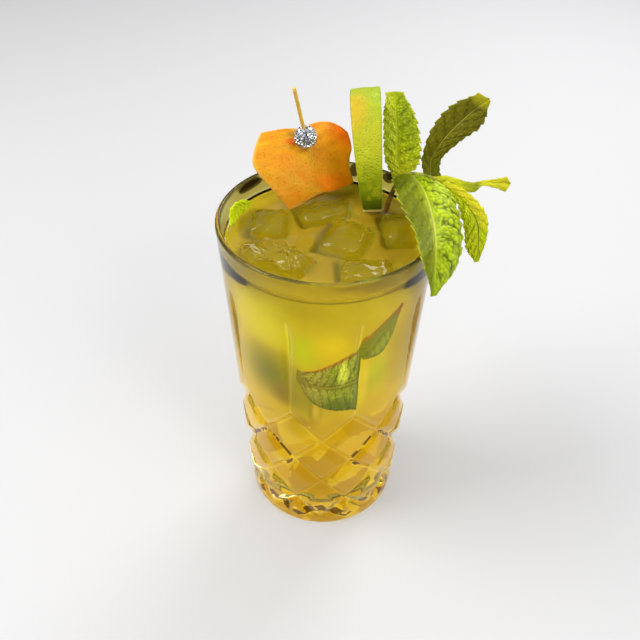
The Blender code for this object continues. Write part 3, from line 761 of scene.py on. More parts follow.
SLAB_STEP = 0.004
EDGE_CELLS = 4.0
EDGE_THICKNESS = 0.25
BACK_RELIEF = 0.8


def along(points, place):
    """Point at place 0..1 on the smooth curve through evenly spaced points."""
    last = len(points) - 1
    scaled = min(max(place, 0.0), 1.0) * last
    start = min(int(scaled), last - 1)
    rest = scaled - start
    before = Vector(points[max(start - 1, 0)])
    here = Vector(points[start])
    after = Vector(points[start + 1])
    beyond = Vector(points[min(start + 2, last)])
    return 0.5 * (2.0 * here + (after - before) * rest
                  + (2.0 * before - 5.0 * here + 4.0 * after - beyond) * rest ** 2
                  + (3.0 * here - before - 3.0 * after + beyond) * rest ** 3)


def slab(name, place, grid, thickness, material, relief):
    """Closed thin piece over place(across, up), marked with across, up, its back and relief."""
    columns, rows = grid

    def normal_at(across, up):
        run = place(min(across + SLAB_STEP, 1.0), up) - place(max(across - SLAB_STEP, 0.0), up)
        climb = place(across, min(up + SLAB_STEP, 1.0)) - place(across, max(up - SLAB_STEP, 0.0))
        return run.cross(climb).normalized()

    sign = math.copysign(1.0, normal_at(0.5, 0.5).dot(FRONT_AND_UP))
    rings = []
    marks = {"across": [], "up": [], "back": [], "lift": []}
    shares = [column / columns for column in range(columns + 1)]
    for row in range(rows + 1):
        up = row / rows
        ahead, behind, lifts = [], [], []
        for across in shares:
            point = place(across, up)
            normal = normal_at(across, up) * sign
            edge = min(min(across, 1.0 - across) * columns / EDGE_CELLS,
                       min(up, 1.0 - up) * rows / EDGE_CELLS, 1.0)
            rounding = math.sqrt(1.0 - (1.0 - edge) ** 2)
            half = thickness / 2.0 * (EDGE_THICKNESS + (1.0 - EDGE_THICKNESS) * rounding)
            lift = relief(across, up)
            lifts.append(lift * MM_IN_METRE)
            ahead.append(point + normal * (half + lift))
            behind.append(point - normal * (half - lift * BACK_RELIEF))
        rings.append(ahead + behind[::-1])
        marks["across"].append(shares + shares[::-1])
        marks["up"].append([up] * len(rings[-1]))
        marks["back"].append([0.0] * (columns + 1) + [1.0] * (columns + 1))
        marks["lift"].append(lifts + lifts[::-1])
    return skin(name, rings, material, marks)


def peel_point(place, height):
    """Point of the peel's middle surface, blended between its four curved edges."""
    left, right = (along(edge, height) for edge in (PEEL_LEFT, PEEL_RIGHT))
    bottom, top = (along(edge, place) for edge in (PEEL_BOTTOM, PEEL_TOP))
    low, high = (Vector(edge[0]).lerp(Vector(edge[-1]), place) for edge in (PEEL_BOTTOM, PEEL_TOP))
    flat = left.lerp(right, place) + bottom.lerp(top, height) - low.lerp(high, height)
    bulge = PEEL_BULGE * (1.0 - ((flat.x - PEEL_MIDDLE) / PEEL_HALF_WIDTH) ** 2)
    from_dent = math.hypot(flat.x - PEEL_DENT[0], flat.y - PEEL_DENT[1])
    bulge -= PEEL_DENT_DEPTH * math.exp(-(from_dent / PEEL_DENT_REACH) ** 2)
    facing = Vector((PEEL_ACROSS.y, -PEEL_ACROSS.x, 0.0))
    lean = PEEL_LEAN_LOW + PEEL_CURL * flat.y
    back = (math.cos(PEEL_LEAN_LOW) - math.cos(lean)) / PEEL_CURL
    rise = (math.sin(lean) - math.sin(PEEL_LEAN_LOW)) / PEEL_CURL
    front = facing * math.cos(lean) + Vector((0.0, 0.0, math.sin(lean)))
    middle = PEEL_FOOT + PEEL_ACROSS * flat.x - facing * back + Vector((0.0, 0.0, rise))
    return middle + front * bulge


def peel_relief(across, up):
    """Soft bumps of the skin at a place of the peel."""
    spot = Vector((across * PEEL_SPAN[0], up * PEEL_SPAN[1], 0.0))
    return sum(noise.noise(spot * scale) * height for scale, height in PEEL_BUMPS)


PORE_SCALE = 16.0
DENT_ACROSS = 0.40
DENT_UP = 0.69
DENT_WIDTH = 0.16
DENT_LENGTH = 0.10
PEEL_TINTS = {
    "skin": rgb(214, 128, 4), "pale skin": rgb(208, 154, 22), "right side light": rgb(255, 160, 14),
    "fold": rgb(255, 130, 4), "shoulder": rgb(244, 108, 2), "dent_shade": rgb(224, 96, 4),
    "cut edge": rgb(236, 184, 84), "pore": rgb(214, 112, 8), "pith": rgb(244, 226, 170),
}
peel_finish, plug, feed = finish("orange_peel", Roughness=0.5, Specular_IOR_Level=0.18)
across, up, back = (plug.attribute(name) for name in ("across", "up", "back"))
flat = plug.vector(across * 3.4, up * 3.0)
streaks = plug.vector(across * 5.0, up * 34.0)
blotch = plug.clouds(1.3, 4.0, 0.6, flat)
fibre = plug.clouds(1.0, 3.0, 0.6, streaks)
colour = (blotch * 0.8 + fibre * 0.35).rise(0.35, 0.80)
colour = colour.mix(PEEL_TINTS["skin"], PEEL_TINTS["pale skin"])
# The right side, which turns away from the lamps, is painted lighter, as painted light.
colour = (across.rise(0.45, 0.95) * 0.85).mix(colour, PEEL_TINTS["right side light"])
fold = across.rise(0.35, 0.6) * across.fall(0.78, 0.95) * up.fall(0.12, 0.28)
colour = (fold * (blotch + 0.35)).least(0.75).mix(colour, PEEL_TINTS["fold"])
shoulder = across.rise(0.60, 0.90) * up.rise(0.45, 0.80)
colour = (shoulder * (blotch + 0.45)).least(0.85).mix(colour, PEEL_TINTS["shoulder"])
# A darker red-orange patch in the dent under the bead is painted shade.
from_dent = ((across - DENT_ACROSS) / DENT_WIDTH) ** 2.0 + ((up - DENT_UP) / DENT_LENGTH) ** 2.0
dent_shade = 1.0 - from_dent.least(1.0)
colour = (dent_shade * 1.3).least(0.9).mix(colour, PEEL_TINTS["dent_shade"])
rim_line = (across.least(1.0 - across) * 1.1).least(up.least(1.0 - up)).fall(0.0, 0.05)
colour = (rim_line * 0.8).mix(colour, PEEL_TINTS["cut edge"])
pores = plug.cells(PORE_SCALE, flat)
colour = (pores.rise(0.0, 0.28) * 0.12 + 0.88).mix(PEEL_TINTS["pore"], colour)
colour = back.mix(colour, PEEL_TINTS["pith"])
feed("Base Color", colour)
feed("Normal", plug.bump(pores.rise(0.0, 0.4) + fibre * 0.8, 0.00022))
peel = slab("peel_strip", peel_point, PEEL_GRID, PEEL_THICKNESS, peel_finish, peel_relief)
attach(peel, "root")
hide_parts("orange_peel")

# The pick is a split bamboo skewer, whittled round, that runs through the bead and the peel
# into the drink. Its fibres show along its length, and its top end is cut square.
PICK_TOP = Vector((-0.0163, 0.0218, 0.1901))
BEAD_CENTRE = Vector((-0.0130, 0.0278, 0.1671))
PICK_REACH_PAST_BEAD = 2.35
PICK_FOOT = PICK_TOP + (BEAD_CENTRE - PICK_TOP) * PICK_REACH_PAST_BEAD
PICK_RADIUS = 0.00075
PICK_RUN = (PICK_FOOT - PICK_TOP).normalized()
PICK_STEPS = 24
PICK_SIDES = 16
PICK_CHAMFER = 0.0002
PICK_END_SHARE = 0.8
WHITTLING = 0.05
WHITTLE_SCALE = 300.0
GRAIN_ACROSS = 9000.0
GRAIN_ALONG = 300.0
BAMBOO_DARK = rgb(200, 150, 40)
BAMBOO_PALE = rgb(238, 204, 98)


def tube(name, points, radii, sides, material, marks=None):
    """Closed round tube along points, with a radius at each."""
    rings = []
    across = Vector((1.0, 0.0, 0.0))
    for step, point in enumerate(points):
        ahead = points[min(step + 1, len(points) - 1)] - points[max(step - 1, 0)]
        ahead.normalize()
        across = (across - ahead * across.dot(ahead)).normalized()
        other = ahead.cross(across)
        rings.append([point + (across * math.cos(turn) + other * math.sin(turn)) * radii[step]
                      for turn in (side * math.tau / sides for side in range(sides))])
    return skin(name, rings, material, marks)


wood_finish, plug, feed = finish("bamboo", Roughness=0.55)
east, north, up = plug.object_place().parts()
grain = plug.vector(east * GRAIN_ACROSS, north * GRAIN_ACROSS, up * GRAIN_ALONG)
fibre = plug.clouds(0.35, 3.0, 0.6, grain)
feed("Base Color", fibre.rise(0.3, 0.7).mix(BAMBOO_DARK, BAMBOO_PALE))
feed("Normal", plug.bump(fibre, 0.0001))
length = (PICK_FOOT - PICK_TOP).length
stops = [length * step / PICK_STEPS for step in range(1, PICK_STEPS)]
stops = [PICK_CHAMFER] + stops + [length - PICK_CHAMFER]
radii = [PICK_RADIUS * (1.0 + WHITTLING * noise.noise(Vector((stop * WHITTLE_SCALE, 0.0, 0.0))))
         for stop in stops]
stops = [0.0] + stops + [length]
radii = [PICK_RADIUS * PICK_END_SHARE] + radii + [PICK_RADIUS * PICK_END_SHARE]
pick = tube("bamboo_pick", [PICK_TOP + PICK_RUN * stop for stop in stops], radii, PICK_SIDES,
            wood_finish)
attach(pick, "root")
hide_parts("pick")

# The bead on the pick is a silver ball set all over with small faceted crystals, each a
# six-sided stone. The pick goes through its middle.
BEAD_SIZES = {"Ball radius": 0.0041, "Stone radius": 0.00072, "Stone height": 0.00055,
              "Hole radius": 0.0010}
STONE_DETAIL = 3
STONE_SIDES = 6
STONE_TOP_SHARE = 0.5
GLITTER_SCALE = 1500.0
GLITTER_DARK = rgb(104, 106, 116)
GLITTER_PALE = rgb(216, 218, 224)


def bead_tree(material):
    """Sets a stone on every corner of a fine ball, except where the pick goes through."""
    tree, size = geometry_tree("bead_stones", BEAD_SIZES)
    start = size["Geometry"]
    ball = start.node("GeometryNodeMeshIcoSphere", {},
                      {"Radius": size["Ball radius"], "Subdivisions": STONE_DETAIL})
    core = start.node("GeometryNodeMeshIcoSphere", {},
                      {"Radius": size["Ball radius"], "Subdivisions": STONE_DETAIL + 1})
    place = start.node("GeometryNodeInputPosition")
    east, north = place.parts()[:2]
    out = (east * east + north * north) ** 0.5
    clear = out.maths("GREATER_THAN", out, size["Hole radius"])
    points = start.node("GeometryNodeMeshToPoints", {}, {"Mesh": ball, "Selection": clear})
    turn = start.node("FunctionNodeAlignRotationToVector", {"axis": "Z"}, {"Vector": place})
    stone = start.node("GeometryNodeMeshCone", {},
                       {"Vertices": STONE_SIDES, "Side Segments": 1,
                        "Radius Top": size["Stone radius"] * STONE_TOP_SHARE,
                        "Radius Bottom": size["Stone radius"], "Depth": size["Stone height"]})
    stones = start.node("GeometryNodeInstanceOnPoints", {},
                        {"Points": points, "Instance": stone, "Rotation": turn})
    both = tree.nodes.new("GeometryNodeJoinGeometry")
    tree.links.new(stones.socket, both.inputs[0])
    tree.links.new(core.socket, both.inputs[0])
    end_tree(Plug(tree, both.outputs[0]), material)
    return tree


bead_finish, plug, feed = finish("bead_crystal", Metallic=0.85, Roughness=0.12)
tone = plug.cells(GLITTER_SCALE, output="Color").parts()[0]
feed("Base Color", tone.rise(0.1, 0.9).mix(GLITTER_DARK, GLITTER_PALE))
feed("Roughness", tone * 0.25 + 0.05)
bead = grown("crystal_bead", bpy.data.meshes.new("bead_start"), bead_tree(bead_finish),
             BEAD_SIZES)
bead.data.transform(Matrix.Translation(BEAD_CENTRE)
                    @ PICK_RUN.to_track_quat("Z", "Y").to_matrix().to_4x4())
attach(bead, "root")
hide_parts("bead")

# A thick wheel of lime, cut a little wider at its top, is slit and set on the back of the
# rim, so that its lower end dips into the drink. Pored green rind goes round it, and its
# cut faces show ten wet segments in their white membranes.
LIME_CENTRE = Vector((0.01145, 0.03975, 0.1560))
LIME_NORMAL = Vector((0.9887, 0.1262, 0.1150)).normalized()
LIME_RADIUS = 0.0260
LIME_THICKNESS = 0.0092
LIME_TAPER = 0.12
LIME_COLUMNS = 180
LIME_SEGMENTS = 10
LIME_CREASE = math.radians(50.0)
PULP_SHARE = 0.88
PULP_SINK = 0.00045
PULP_GRAIN = 0.00018
FACE_RINGS = (0.02, 0.06, 0.12, 0.2, 0.3, 0.4, 0.5, 0.6, 0.7, 0.78, 0.84, 0.87, 0.90, 0.93,
              0.955)
RIND_SHOULDER = ((0.975, 0.985), (0.990, 0.93), (0.998, 0.85))
RIND_ROWS = 8
RIND_PITS = (9.0, 400.0, 0.00025)
RIND_SINK = 0.0002
SLIT_GAP = 0.0006
SLIT_OUTER = (0.1506, 0.1380, 0.1240)
SLIT_INNER = (0.1240, 0.1380, 0.1480, 0.1506)
SLIT_COLUMNS = 160
RIND_SPAN = (0.131, 0.182)
FOOT_HEAD = (0.1424, 0.1432)
FOOT_START = (0.1404, 0.1409)
FOOT_SIDE = (0.024, 0.028)
LIME_TINTS = {
    "blotch": rgb(172, 178, 26), "ripe": rgb(204, 146, 18), "waterline highlight": rgb(255, 252, 170),
    "pulp": rgb(150, 172, 46), "pale pulp": rgb(206, 214, 112), "pith": rgb(236, 238, 190),
}
RIPE_CENTRE = (0.0050, 0.0300, 0.1790)
RIPE_REACH = (0.0080, 0.0140, 0.0110)
RIND_SHADE_STOPS = ((0.0, rgb(76, 98, 8)), (0.28, rgb(92, 116, 8)), (0.48, rgb(128, 144, 8)),
              (0.70, rgb(162, 168, 8)), (0.86, rgb(162, 162, 10)), (1.0, rgb(138, 158, 4)))


def lime_rings():
    """Rings over one cut face, the rind and the other face, each with its share of radius."""
    half = LIME_THICKNESS / 2.0
    section = [(share, -half) for share in FACE_RINGS]
    section += [(share, -half * side) for share, side in RIND_SHOULDER]
    other = [(share, -side) for share, side in reversed(section)]
    section += [(1.0, half * row / RIND_ROWS) for row in range(2 - RIND_ROWS, RIND_ROWS - 1)]
    return section + other


def lime_sink(share, turn):
    """How far the pulp stands back between its membranes at a place of a cut face."""
    if share > PULP_SHARE:
        return 0.0
    pulp = abs(math.sin(turn * LIME_SEGMENTS / 2.0))
    rounded = min(share / 0.12, (PULP_SHARE - share) / 0.06, 1.0)
    grain = noise.noise(Vector((turn * 9.0, share * 5.0, 1.0))) * PULP_GRAIN
    return (PULP_SINK * min(pulp * 3.0, 1.0) + grain) * max(rounded, 0.0)


def build_lime(material):
    """Wheel of lime, wider at its top, with a pitted rind and sunk segments."""
    east = LIME_NORMAL.orthogonal().normalized()
    north = LIME_NORMAL.cross(east)
    rings, shares = [], []
    pit_scale, pit_side_scale, pit_depth = RIND_PITS
    for share, side in lime_rings():
        ring = []
        for column in range(LIME_COLUMNS):
            turn = column * math.tau / LIME_COLUMNS
            out = east * math.cos(turn) + north * math.sin(turn)
            pit = noise.noise(out * pit_scale + LIME_NORMAL * side * pit_side_scale) * pit_depth
            reach = LIME_RADIUS * share + (pit - RIND_SINK if share > 0.99 else 0.0)
            height = side - math.copysign(lime_sink(share, turn), side)
            point = LIME_CENTRE + out * reach
            stretch = 1.0 + LIME_TAPER * (point.z - LIME_CENTRE.z) / LIME_THICKNESS
            ring.append(point + LIME_NORMAL * height * stretch)
        rings.append(ring)
        shares.append([share] * LIME_COLUMNS)
    return skin("lime_slice", rings, material, {"radius": shares})


def cut_slit(piece):
    """Takes the slit that the glass's rim fills out of a piece."""
    section = [(outer_radius(height) + SLIT_GAP, height) for height in SLIT_OUTER]
    section += [(between(INNER_WALL, height) - SLIT_GAP, height) for height in SLIT_INNER]
    mesh = bpy.data.meshes.new("rim_slit")
    shape = bmesh.new()
    rings = [[shape.verts.new(point) for point in ring_of(radius, height, SLIT_COLUMNS)]
             for radius, height in section]
    for ring, following in zip(rings, rings[1:] + rings[:1]):
        for step in range(SLIT_COLUMNS):
            after = (step + 1) % SLIT_COLUMNS
            shape.faces.new((ring[step], ring[after], following[after], following[step]))
    bmesh.ops.recalc_face_normals(shape, faces=shape.faces)
    shape.to_mesh(mesh)
    shape.free()
    cutter = new_piece("rim_slit", mesh)
    cut = piece.modifiers.new("Slit", "BOOLEAN")
    cut.object = cutter
    bpy.context.view_layer.update()
    graph = bpy.context.evaluated_depsgraph_get()
    piece.data = bpy.data.meshes.new_from_object(piece.evaluated_get(graph))
    piece.modifiers.clear()
    bpy.data.objects.remove(cutter, do_unlink=True)


lime_finish, plug, feed = finish("lime", Roughness=0.45, Specular_IOR_Level=0.25)
place = plug.object_place()
east, north, up = place.parts()
radius = plug.attribute("radius")
blotch = plug.clouds(150.0, 4.0, 0.65)
# The rind is painted darker towards its foot, as painted shade.
share = up.rise(*RIND_SPAN, smooth=False) + (blotch - 0.5) * 0.25
rind = plug.node("ShaderNodeValToRGB", {"stops": RIND_SHADE_STOPS}, {0: share})
rind = (blotch.rise(0.52, 0.72) * 0.8).mix(rind, LIME_TINTS["blotch"])
ripe = spot_share(place, RIPE_CENTRE, RIPE_REACH)
rind = (ripe * 0.7 * (blotch + 0.4)).least(0.5).mix(rind, LIME_TINTS["ripe"])
# A near white band on the front of the rind just above the drink is a painted highlight.
foot = up.rise(*FOOT_START) * up.fall(*FOOT_HEAD)
foot = foot * north.fall(*FOOT_SIDE)
rind = foot.mix(rind, LIME_TINTS["waterline highlight"])
turned = plug.node("ShaderNodeMapping", {"vector_type": "POINT"},
                   {"Vector": place, "Location": tuple(-LIME_CENTRE)})
spokes = plug.clouds(210.0, 3.0, 0.6, turned)
pulp = spokes.rise(0.3, 0.75).mix(LIME_TINTS["pulp"], LIME_TINTS["pale pulp"])
colour = radius.rise(0.86, 0.90).mix(pulp, LIME_TINTS["pith"])
colour = radius.rise(0.955, 0.975).mix(colour, rind)
feed("Base Color", colour)
pores = plug.cells(900.0, place)
feed("Normal", plug.bump(pores.rise(0.0, 0.5) + spokes, 0.00025))
lime = build_lime(lime_finish)
cut_slit(lime)
lime.data.shade_smooth()
lime.data.set_sharp_from_angle(angle=LIME_CREASE)
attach(lime, "root")
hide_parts("lime_wheel")

# A fresh sprig of mint stands in the drink at the back right and leans over the rim. Its
# five leaves are toothed, ribbed and puckered between their veins, some folded along the
# midrib, and a pale stem joins them.
STEM = ((0.0210, 0.0212, 0.1320), (0.0211, 0.0228, 0.1405), (0.0234, 0.0280, 0.1478),
        (0.0268, 0.0308, 0.1522), (0.0330, 0.0306, 0.1534), (0.0380, 0.0295, 0.1530),
        (0.0415, 0.0275, 0.1512))
STEM_RADIUS = 0.0011
LEAF_GRID = (64, 150)
LEAF_THICKNESS = 0.0004
SPRIG_LEAVES = {
    "upright": (
        ((0.0223, 0.0310, 0.1508), (0.0182, 0.0330, 0.1571), (0.0168, 0.0350, 0.1670),
         (0.0161, 0.0375, 0.1755), (0.0170, 0.0385, 0.1831)),
        ((0.0262, 0.0306, 0.1518), (0.0233, 0.0320, 0.1581), (0.0224, 0.0340, 0.1680),
         (0.0210, 0.0360, 0.1767), (0.0199, 0.0385, 0.1841)),
        ((0.0267, 0.0310, 0.1520), (0.0325, 0.0330, 0.1562), (0.0324, 0.0350, 0.1650),
         (0.0289, 0.0375, 0.1758), (0.0227, 0.0385, 0.1842))),
    "upper_right": (
        ((0.0346, 0.0300, 0.1532), (0.0328, 0.0335, 0.1592), (0.0353, 0.0340, 0.1723),
         (0.0417, 0.0330, 0.1833), (0.0517, 0.0300, 0.1900)),
        ((0.0374, 0.0298, 0.1530), (0.0370, 0.0320, 0.1604), (0.0414, 0.0315, 0.1703),
         (0.0476, 0.0310, 0.1791), (0.0552, 0.0300, 0.1883)),
        ((0.0409, 0.0300, 0.1543), (0.0412, 0.0305, 0.1617), (0.0476, 0.0295, 0.1702),
         (0.0548, 0.0290, 0.1779), (0.0555, 0.0300, 0.1872))),
    "far_right": (
        ((0.0382, 0.0292, 0.1536), (0.0432, 0.0300, 0.1545), (0.0529, 0.0290, 0.1530),
         (0.0581, 0.0280, 0.1548), (0.0664, 0.0260, 0.1586)),
        ((0.0388, 0.0292, 0.1523), (0.0460, 0.0280, 0.1519), (0.0539, 0.0275, 0.1517),
         (0.0586, 0.0270, 0.1543), (0.0684, 0.0260, 0.1559)),
        ((0.0401, 0.0292, 0.1510), (0.0486, 0.0270, 0.1500), (0.0549, 0.0265, 0.1499),
         (0.0583, 0.0260, 0.1535), (0.0667, 0.0260, 0.1519))),
    "over_rim": (
        ((0.0227, 0.0243, 0.1535), (0.0255, 0.0101, 0.1530), (0.0326, -0.0090, 0.1535),
         (0.0370, -0.0259, 0.1525), (0.0427, -0.0241, 0.1360)),
        ((0.0300, 0.0305, 0.1532), (0.0363, 0.0124, 0.1550), (0.0405, -0.0069, 0.1535),
         (0.0418, -0.0200, 0.1500), (0.0429, -0.0241, 0.1360)),
        ((0.0332, 0.0300, 0.1535), (0.0454, 0.0217, 0.1525), (0.0512, 0.0107, 0.1455),
         (0.0513, -0.0052, 0.1385), (0.0431, -0.0240, 0.1360))),
    "lower_right": (
        ((0.0405, 0.0278, 0.1515), (0.0479, 0.0250, 0.1465), (0.0525, 0.0225, 0.1353),
         (0.0544, 0.0200, 0.1274), (0.0592, 0.0190, 0.1219)),
        ((0.0415, 0.0276, 0.1514), (0.0506, 0.0250, 0.1468), (0.0572, 0.0225, 0.1393),
         (0.0591, 0.0200, 0.1310), (0.0597, 0.0190, 0.1217)),
        ((0.0435, 0.0278, 0.1531), (0.0533, 0.0255, 0.1501), (0.0611, 0.0235, 0.1424),
         (0.0626, 0.0210, 0.1327), (0.0604, 0.0190, 0.1220))),
}
LEAF_FINISH = {
    "upright": {"bright": rgb(200, 212, 14), "dark": rgb(92, 108, 4),
        "pucker": (0.9, 0.8), "patches": (
        ((0.18, 0.55), (0.34, 0.60), rgb(206, 216, 60), 0.75),
        ((0.72, 0.72), (0.30, 0.34), rgb(110, 134, 8), 0.65),
        ((0.55, 0.12), (0.60, 0.24), rgb(214, 212, 36), 0.80))},
    "upper_right": {"bright": rgb(118, 114, 10), "dark": rgb(62, 60, 4),
        "pucker": (0.45, 0.6), "patches": (
        # The pale tip is a painted highlight.
        ((0.50, 1.0), (0.80, 0.13), rgb(200, 192, 30), 1.0),
        ((0.50, 0.05), (0.80, 0.22), rgb(100, 108, 10), 0.6))},
    "far_right": {"bright": rgb(206, 202, 30), "dark": rgb(140, 150, 12),
        "pucker": (0.4, 0.4), "patches": (
        ((0.60, 0.55), (0.90, 0.20), rgb(96, 114, 8), 0.75),
        ((0.50, 0.90), (0.90, 0.26), rgb(216, 206, 44), 0.80))},
    "over_rim": {"bright": rgb(172, 194, 16), "dark": rgb(62, 76, 4),
        "pucker": (0.75, 1.15), "patches": (
        # The darker olive left half is painted shade.
        ((0.16, 0.45), (0.36, 0.75), rgb(106, 112, 8), 1.0),
        ((0.46, 0.45), (0.05, 0.70), rgb(176, 182, 50), 0.50),
        ((0.60, 0.97), (0.60, 0.30), rgb(172, 196, 16), 0.50))},
    "lower_right": {"bright": rgb(210, 224, 14), "dark": rgb(112, 128, 6),
        "pucker": (0.9, 0.6), "patches": (
        ((0.90, 0.28), (0.42, 0.42), rgb(226, 212, 40), 0.90),
        ((0.52, 0.60), (0.05, 0.50), rgb(70, 92, 8), 0.80))},
}
LEAF_TEETH = 12.0
TOOTH_DEPTH = 0.13
TOOTH_START = 0.72
TOOTH_STAGGER = 0.4
LEAF_TAPER = 0.08
LEAF_END_WIDTH = 0.05
LEAF_CROWN = 0.10
LEAF_VEINS = 8.0
VEIN_SLANT = 1.5
CELLS_ACROSS = 13.0
CELLS_ALONG = 29.0
CELL_SLANT = 0.10
CELL_SHIFT = 7.0
CELL_WANDER_SCALE = 0.6
CELL_WANDER = 0.8
CELL_RISE = 0.75
VEIN_RISE = 0.35
PUCKER = 0.00075
LEAF_RIB = rgb(200, 206, 84)
LEAF_EDGE = rgb(208, 214, 60)
LEAF_BACK = rgb(150, 156, 48)
STEM_STEPS = 40
STEM_SIDES = 14
STEM_TAPER = 0.4
STEM_TURNS_GREEN = (0.146, 0.151)
STEM_BROWNS = (rgb(96, 62, 12), rgb(170, 124, 30))
STEM_GREENS = (rgb(112, 120, 24), rgb(178, 176, 60))


def leaf(name, rails, material, seed, sides, grid=LEAF_GRID, teeth=LEAF_TEETH,
         tooth_depth=TOOTH_DEPTH):
    """Leaf between its two edges and its midrib, with a share of pucker for each half."""
    left, middle, right = rails
    across_base = along(right, 0.5) - along(left, 0.5)
    run = along(middle, 0.55) - along(middle, 0.45)
    sign = math.copysign(1.0, across_base.cross(run).dot(FRONT_AND_UP))

    def place(across, up):
        low, rib, high = (along(rail, up) for rail in (left, middle, right))
        inward = min(up / LEAF_TAPER, (1.0 - up) / LEAF_TAPER, 1.0)
        share = abs(across * 2.0 - 1.0)
        side = low if across < 0.5 else high
        tooth = (up * teeth + (TOOTH_STAGGER if across < 0.5 else 0.0)) % 1.0
        bite = max(share - TOOTH_START, 0.0) / (1.0 - TOOTH_START)
        reach = 1.0 - tooth_depth * tooth * inward * bite
        least = across_base * LEAF_END_WIDTH * (1.0 - inward)
        side = side + (least if across >= 0.5 else -least)
        point = rib.lerp(side, share * reach)
        crown = (side - rib).length * LEAF_CROWN * share * (1.0 - share) * 4.0
        normal = (high - low).cross(along(middle, up + 0.03) - along(middle, up - 0.03))
        if normal.length > 0.0:
            point += normal.normalized() * crown * sign
        return point

    def relief(across, up):
        share = abs(across * 2.0 - 1.0)
        lean = up * LEAF_VEINS - share * VEIN_SLANT + (0.5 if across > 0.5 else 0.0)
        vein = abs(math.sin(lean * math.pi)) ** 0.5
        spot = Vector((across * CELLS_ACROSS, (up - share * CELL_SLANT) * CELLS_ALONG,
                       seed * CELL_SHIFT))
        spot += wander_at(spot * CELL_WANDER_SCALE) * CELL_WANDER
        near = noise.voronoi(spot)[0]
        cell = min((near[1] - near[0]) * 1.7, 1.0) ** 0.7
        pucker = sides[0] + (sides[1] - sides[0]) * min(max(across * 6.0 - 2.5, 0.0), 1.0)
        rise = (CELL_RISE * cell + VEIN_RISE * vein - 0.5) * pucker + (vein - 1.0) * 0.15
        return PUCKER * rise * min(share * 6.0, 1.0) * min(up * 8.0, (1.0 - up) * 8.0, 1.0)

    return slab(name, place, grid, LEAF_THICKNESS, material, relief)


def leaf_finish(name, look, glow=0.0):
    """Leaf material painted darker where its relief sinks, as painted shade in the folds, with
    soft patches of other greens.
    """
    bright, dark, patches = look["bright"], look["dark"], look["patches"]
    made, plug, feed = finish(name, Specular_IOR_Level=0.16, Emission_Strength=glow)
    across, up, back, lift = (plug.attribute(label) for label in ("across", "up", "back", "lift"))
    share = abs(across * 2.0 - 1.0)
    mottle = plug.clouds(420.0, 4.0, 0.65)
    # The greens follow the relief, as painted shade in the folds and lighter on the puckers.
    tone = (lift.rise(-0.36, 0.34, smooth=False) * 0.85 + mottle * 0.4 - 0.12).rise(0.0, 1.0)
    colour = tone.mix(dark, bright)
    for (where, height), (width, length), tint, strength in patches:
        far = ((across - where) / width) ** 2.0 + ((up - height) / length) ** 2.0
        patch = (1.0 - far).most(0.0) ** 0.7 * strength
        colour = patch.mix(colour, (tone * 0.65 + 0.35).mix(dark, tint))
    colour = (share.fall(0.012, 0.045) * 0.5).mix(colour, LEAF_RIB)
    colour = (share.rise(0.93, 1.0) * 0.5).mix(colour, LEAF_EDGE)
    colour = (back * 0.35).mix(colour, LEAF_BACK)
    feed("Base Color", colour)
    if glow:
        feed("Emission Color", colour)
    feed("Roughness", 0.40 + mottle * 0.25)
    feed("Normal", plug.bump(plug.clouds(1100.0, 3.0), 0.00018))
    return made


stem_finish, plug, feed = finish("mint_stem", Roughness=0.5)
height = plug.object_place().parts()[2]
mottle = plug.clouds(400.0, 3.0).rise(0.3, 0.7)
brown = mottle.mix(*STEM_BROWNS)
green = mottle.mix(*STEM_GREENS)
feed("Base Color", height.rise(*STEM_TURNS_GREEN).mix(brown, green))
feed("Normal", plug.bump(plug.clouds(700.0, 2.0), 0.0002))
stem_points = [along(STEM, step / STEM_STEPS) for step in range(STEM_STEPS + 1)]
stem_radii = [STEM_RADIUS * (1.0 - STEM_TAPER * step / STEM_STEPS)
              for step in range(STEM_STEPS + 1)]
sprig = [tube("mint_stem", stem_points, stem_radii, STEM_SIDES, stem_finish)]
for seed, (name, rails) in enumerate(SPRIG_LEAVES.items()):
    look = LEAF_FINISH[name]
    sprig.append(leaf("mint_leaf_" + name, rails, leaf_finish("mint_" + name, look), seed,
                      look["pucker"]))
for piece in sprig:
    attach(piece, "root")
    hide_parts("mint_sprig")

# A small young leaf clings to the inside of the wall at the left, half out of the drink. It
# is bright and thin, has few teeth, and is held by the wet glass alone.
WALL_LEAF = (
    ((-0.0325, 0.0138, 0.1440), (-0.0345, 0.0122, 0.1405), (-0.0362, 0.0080, 0.1405),
     (-0.0368, 0.0028, 0.1405), (-0.0368, -0.0045, 0.1440)),
    ((-0.0325, 0.0138, 0.1440), (-0.0348, 0.0102, 0.1445), (-0.0367, 0.0060, 0.1450),
     (-0.0374, 0.0010, 0.1450), (-0.0368, -0.0045, 0.1440)),
    ((-0.0325, 0.0138, 0.1440), (-0.0355, 0.0082, 0.1482), (-0.0375, 0.0040, 0.1485),
     (-0.0380, -0.0015, 0.1482), (-0.0368, -0.0045, 0.1440)))
YOUNG_FINISH = {"bright": rgb(222, 232, 22), "dark": rgb(120, 158, 4),
                "pucker": (1.0, 1.0), "patches": ()}
YOUNG_SEED = 9
small = leaf("mint_leaf_young", WALL_LEAF, leaf_finish("mint_young", YOUNG_FINISH), YOUNG_SEED,
             YOUNG_FINISH["pucker"], grid=(32, 64), teeth=5.0, tooth_depth=0.25)
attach(small, "root")
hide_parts("mint_leaf_small")

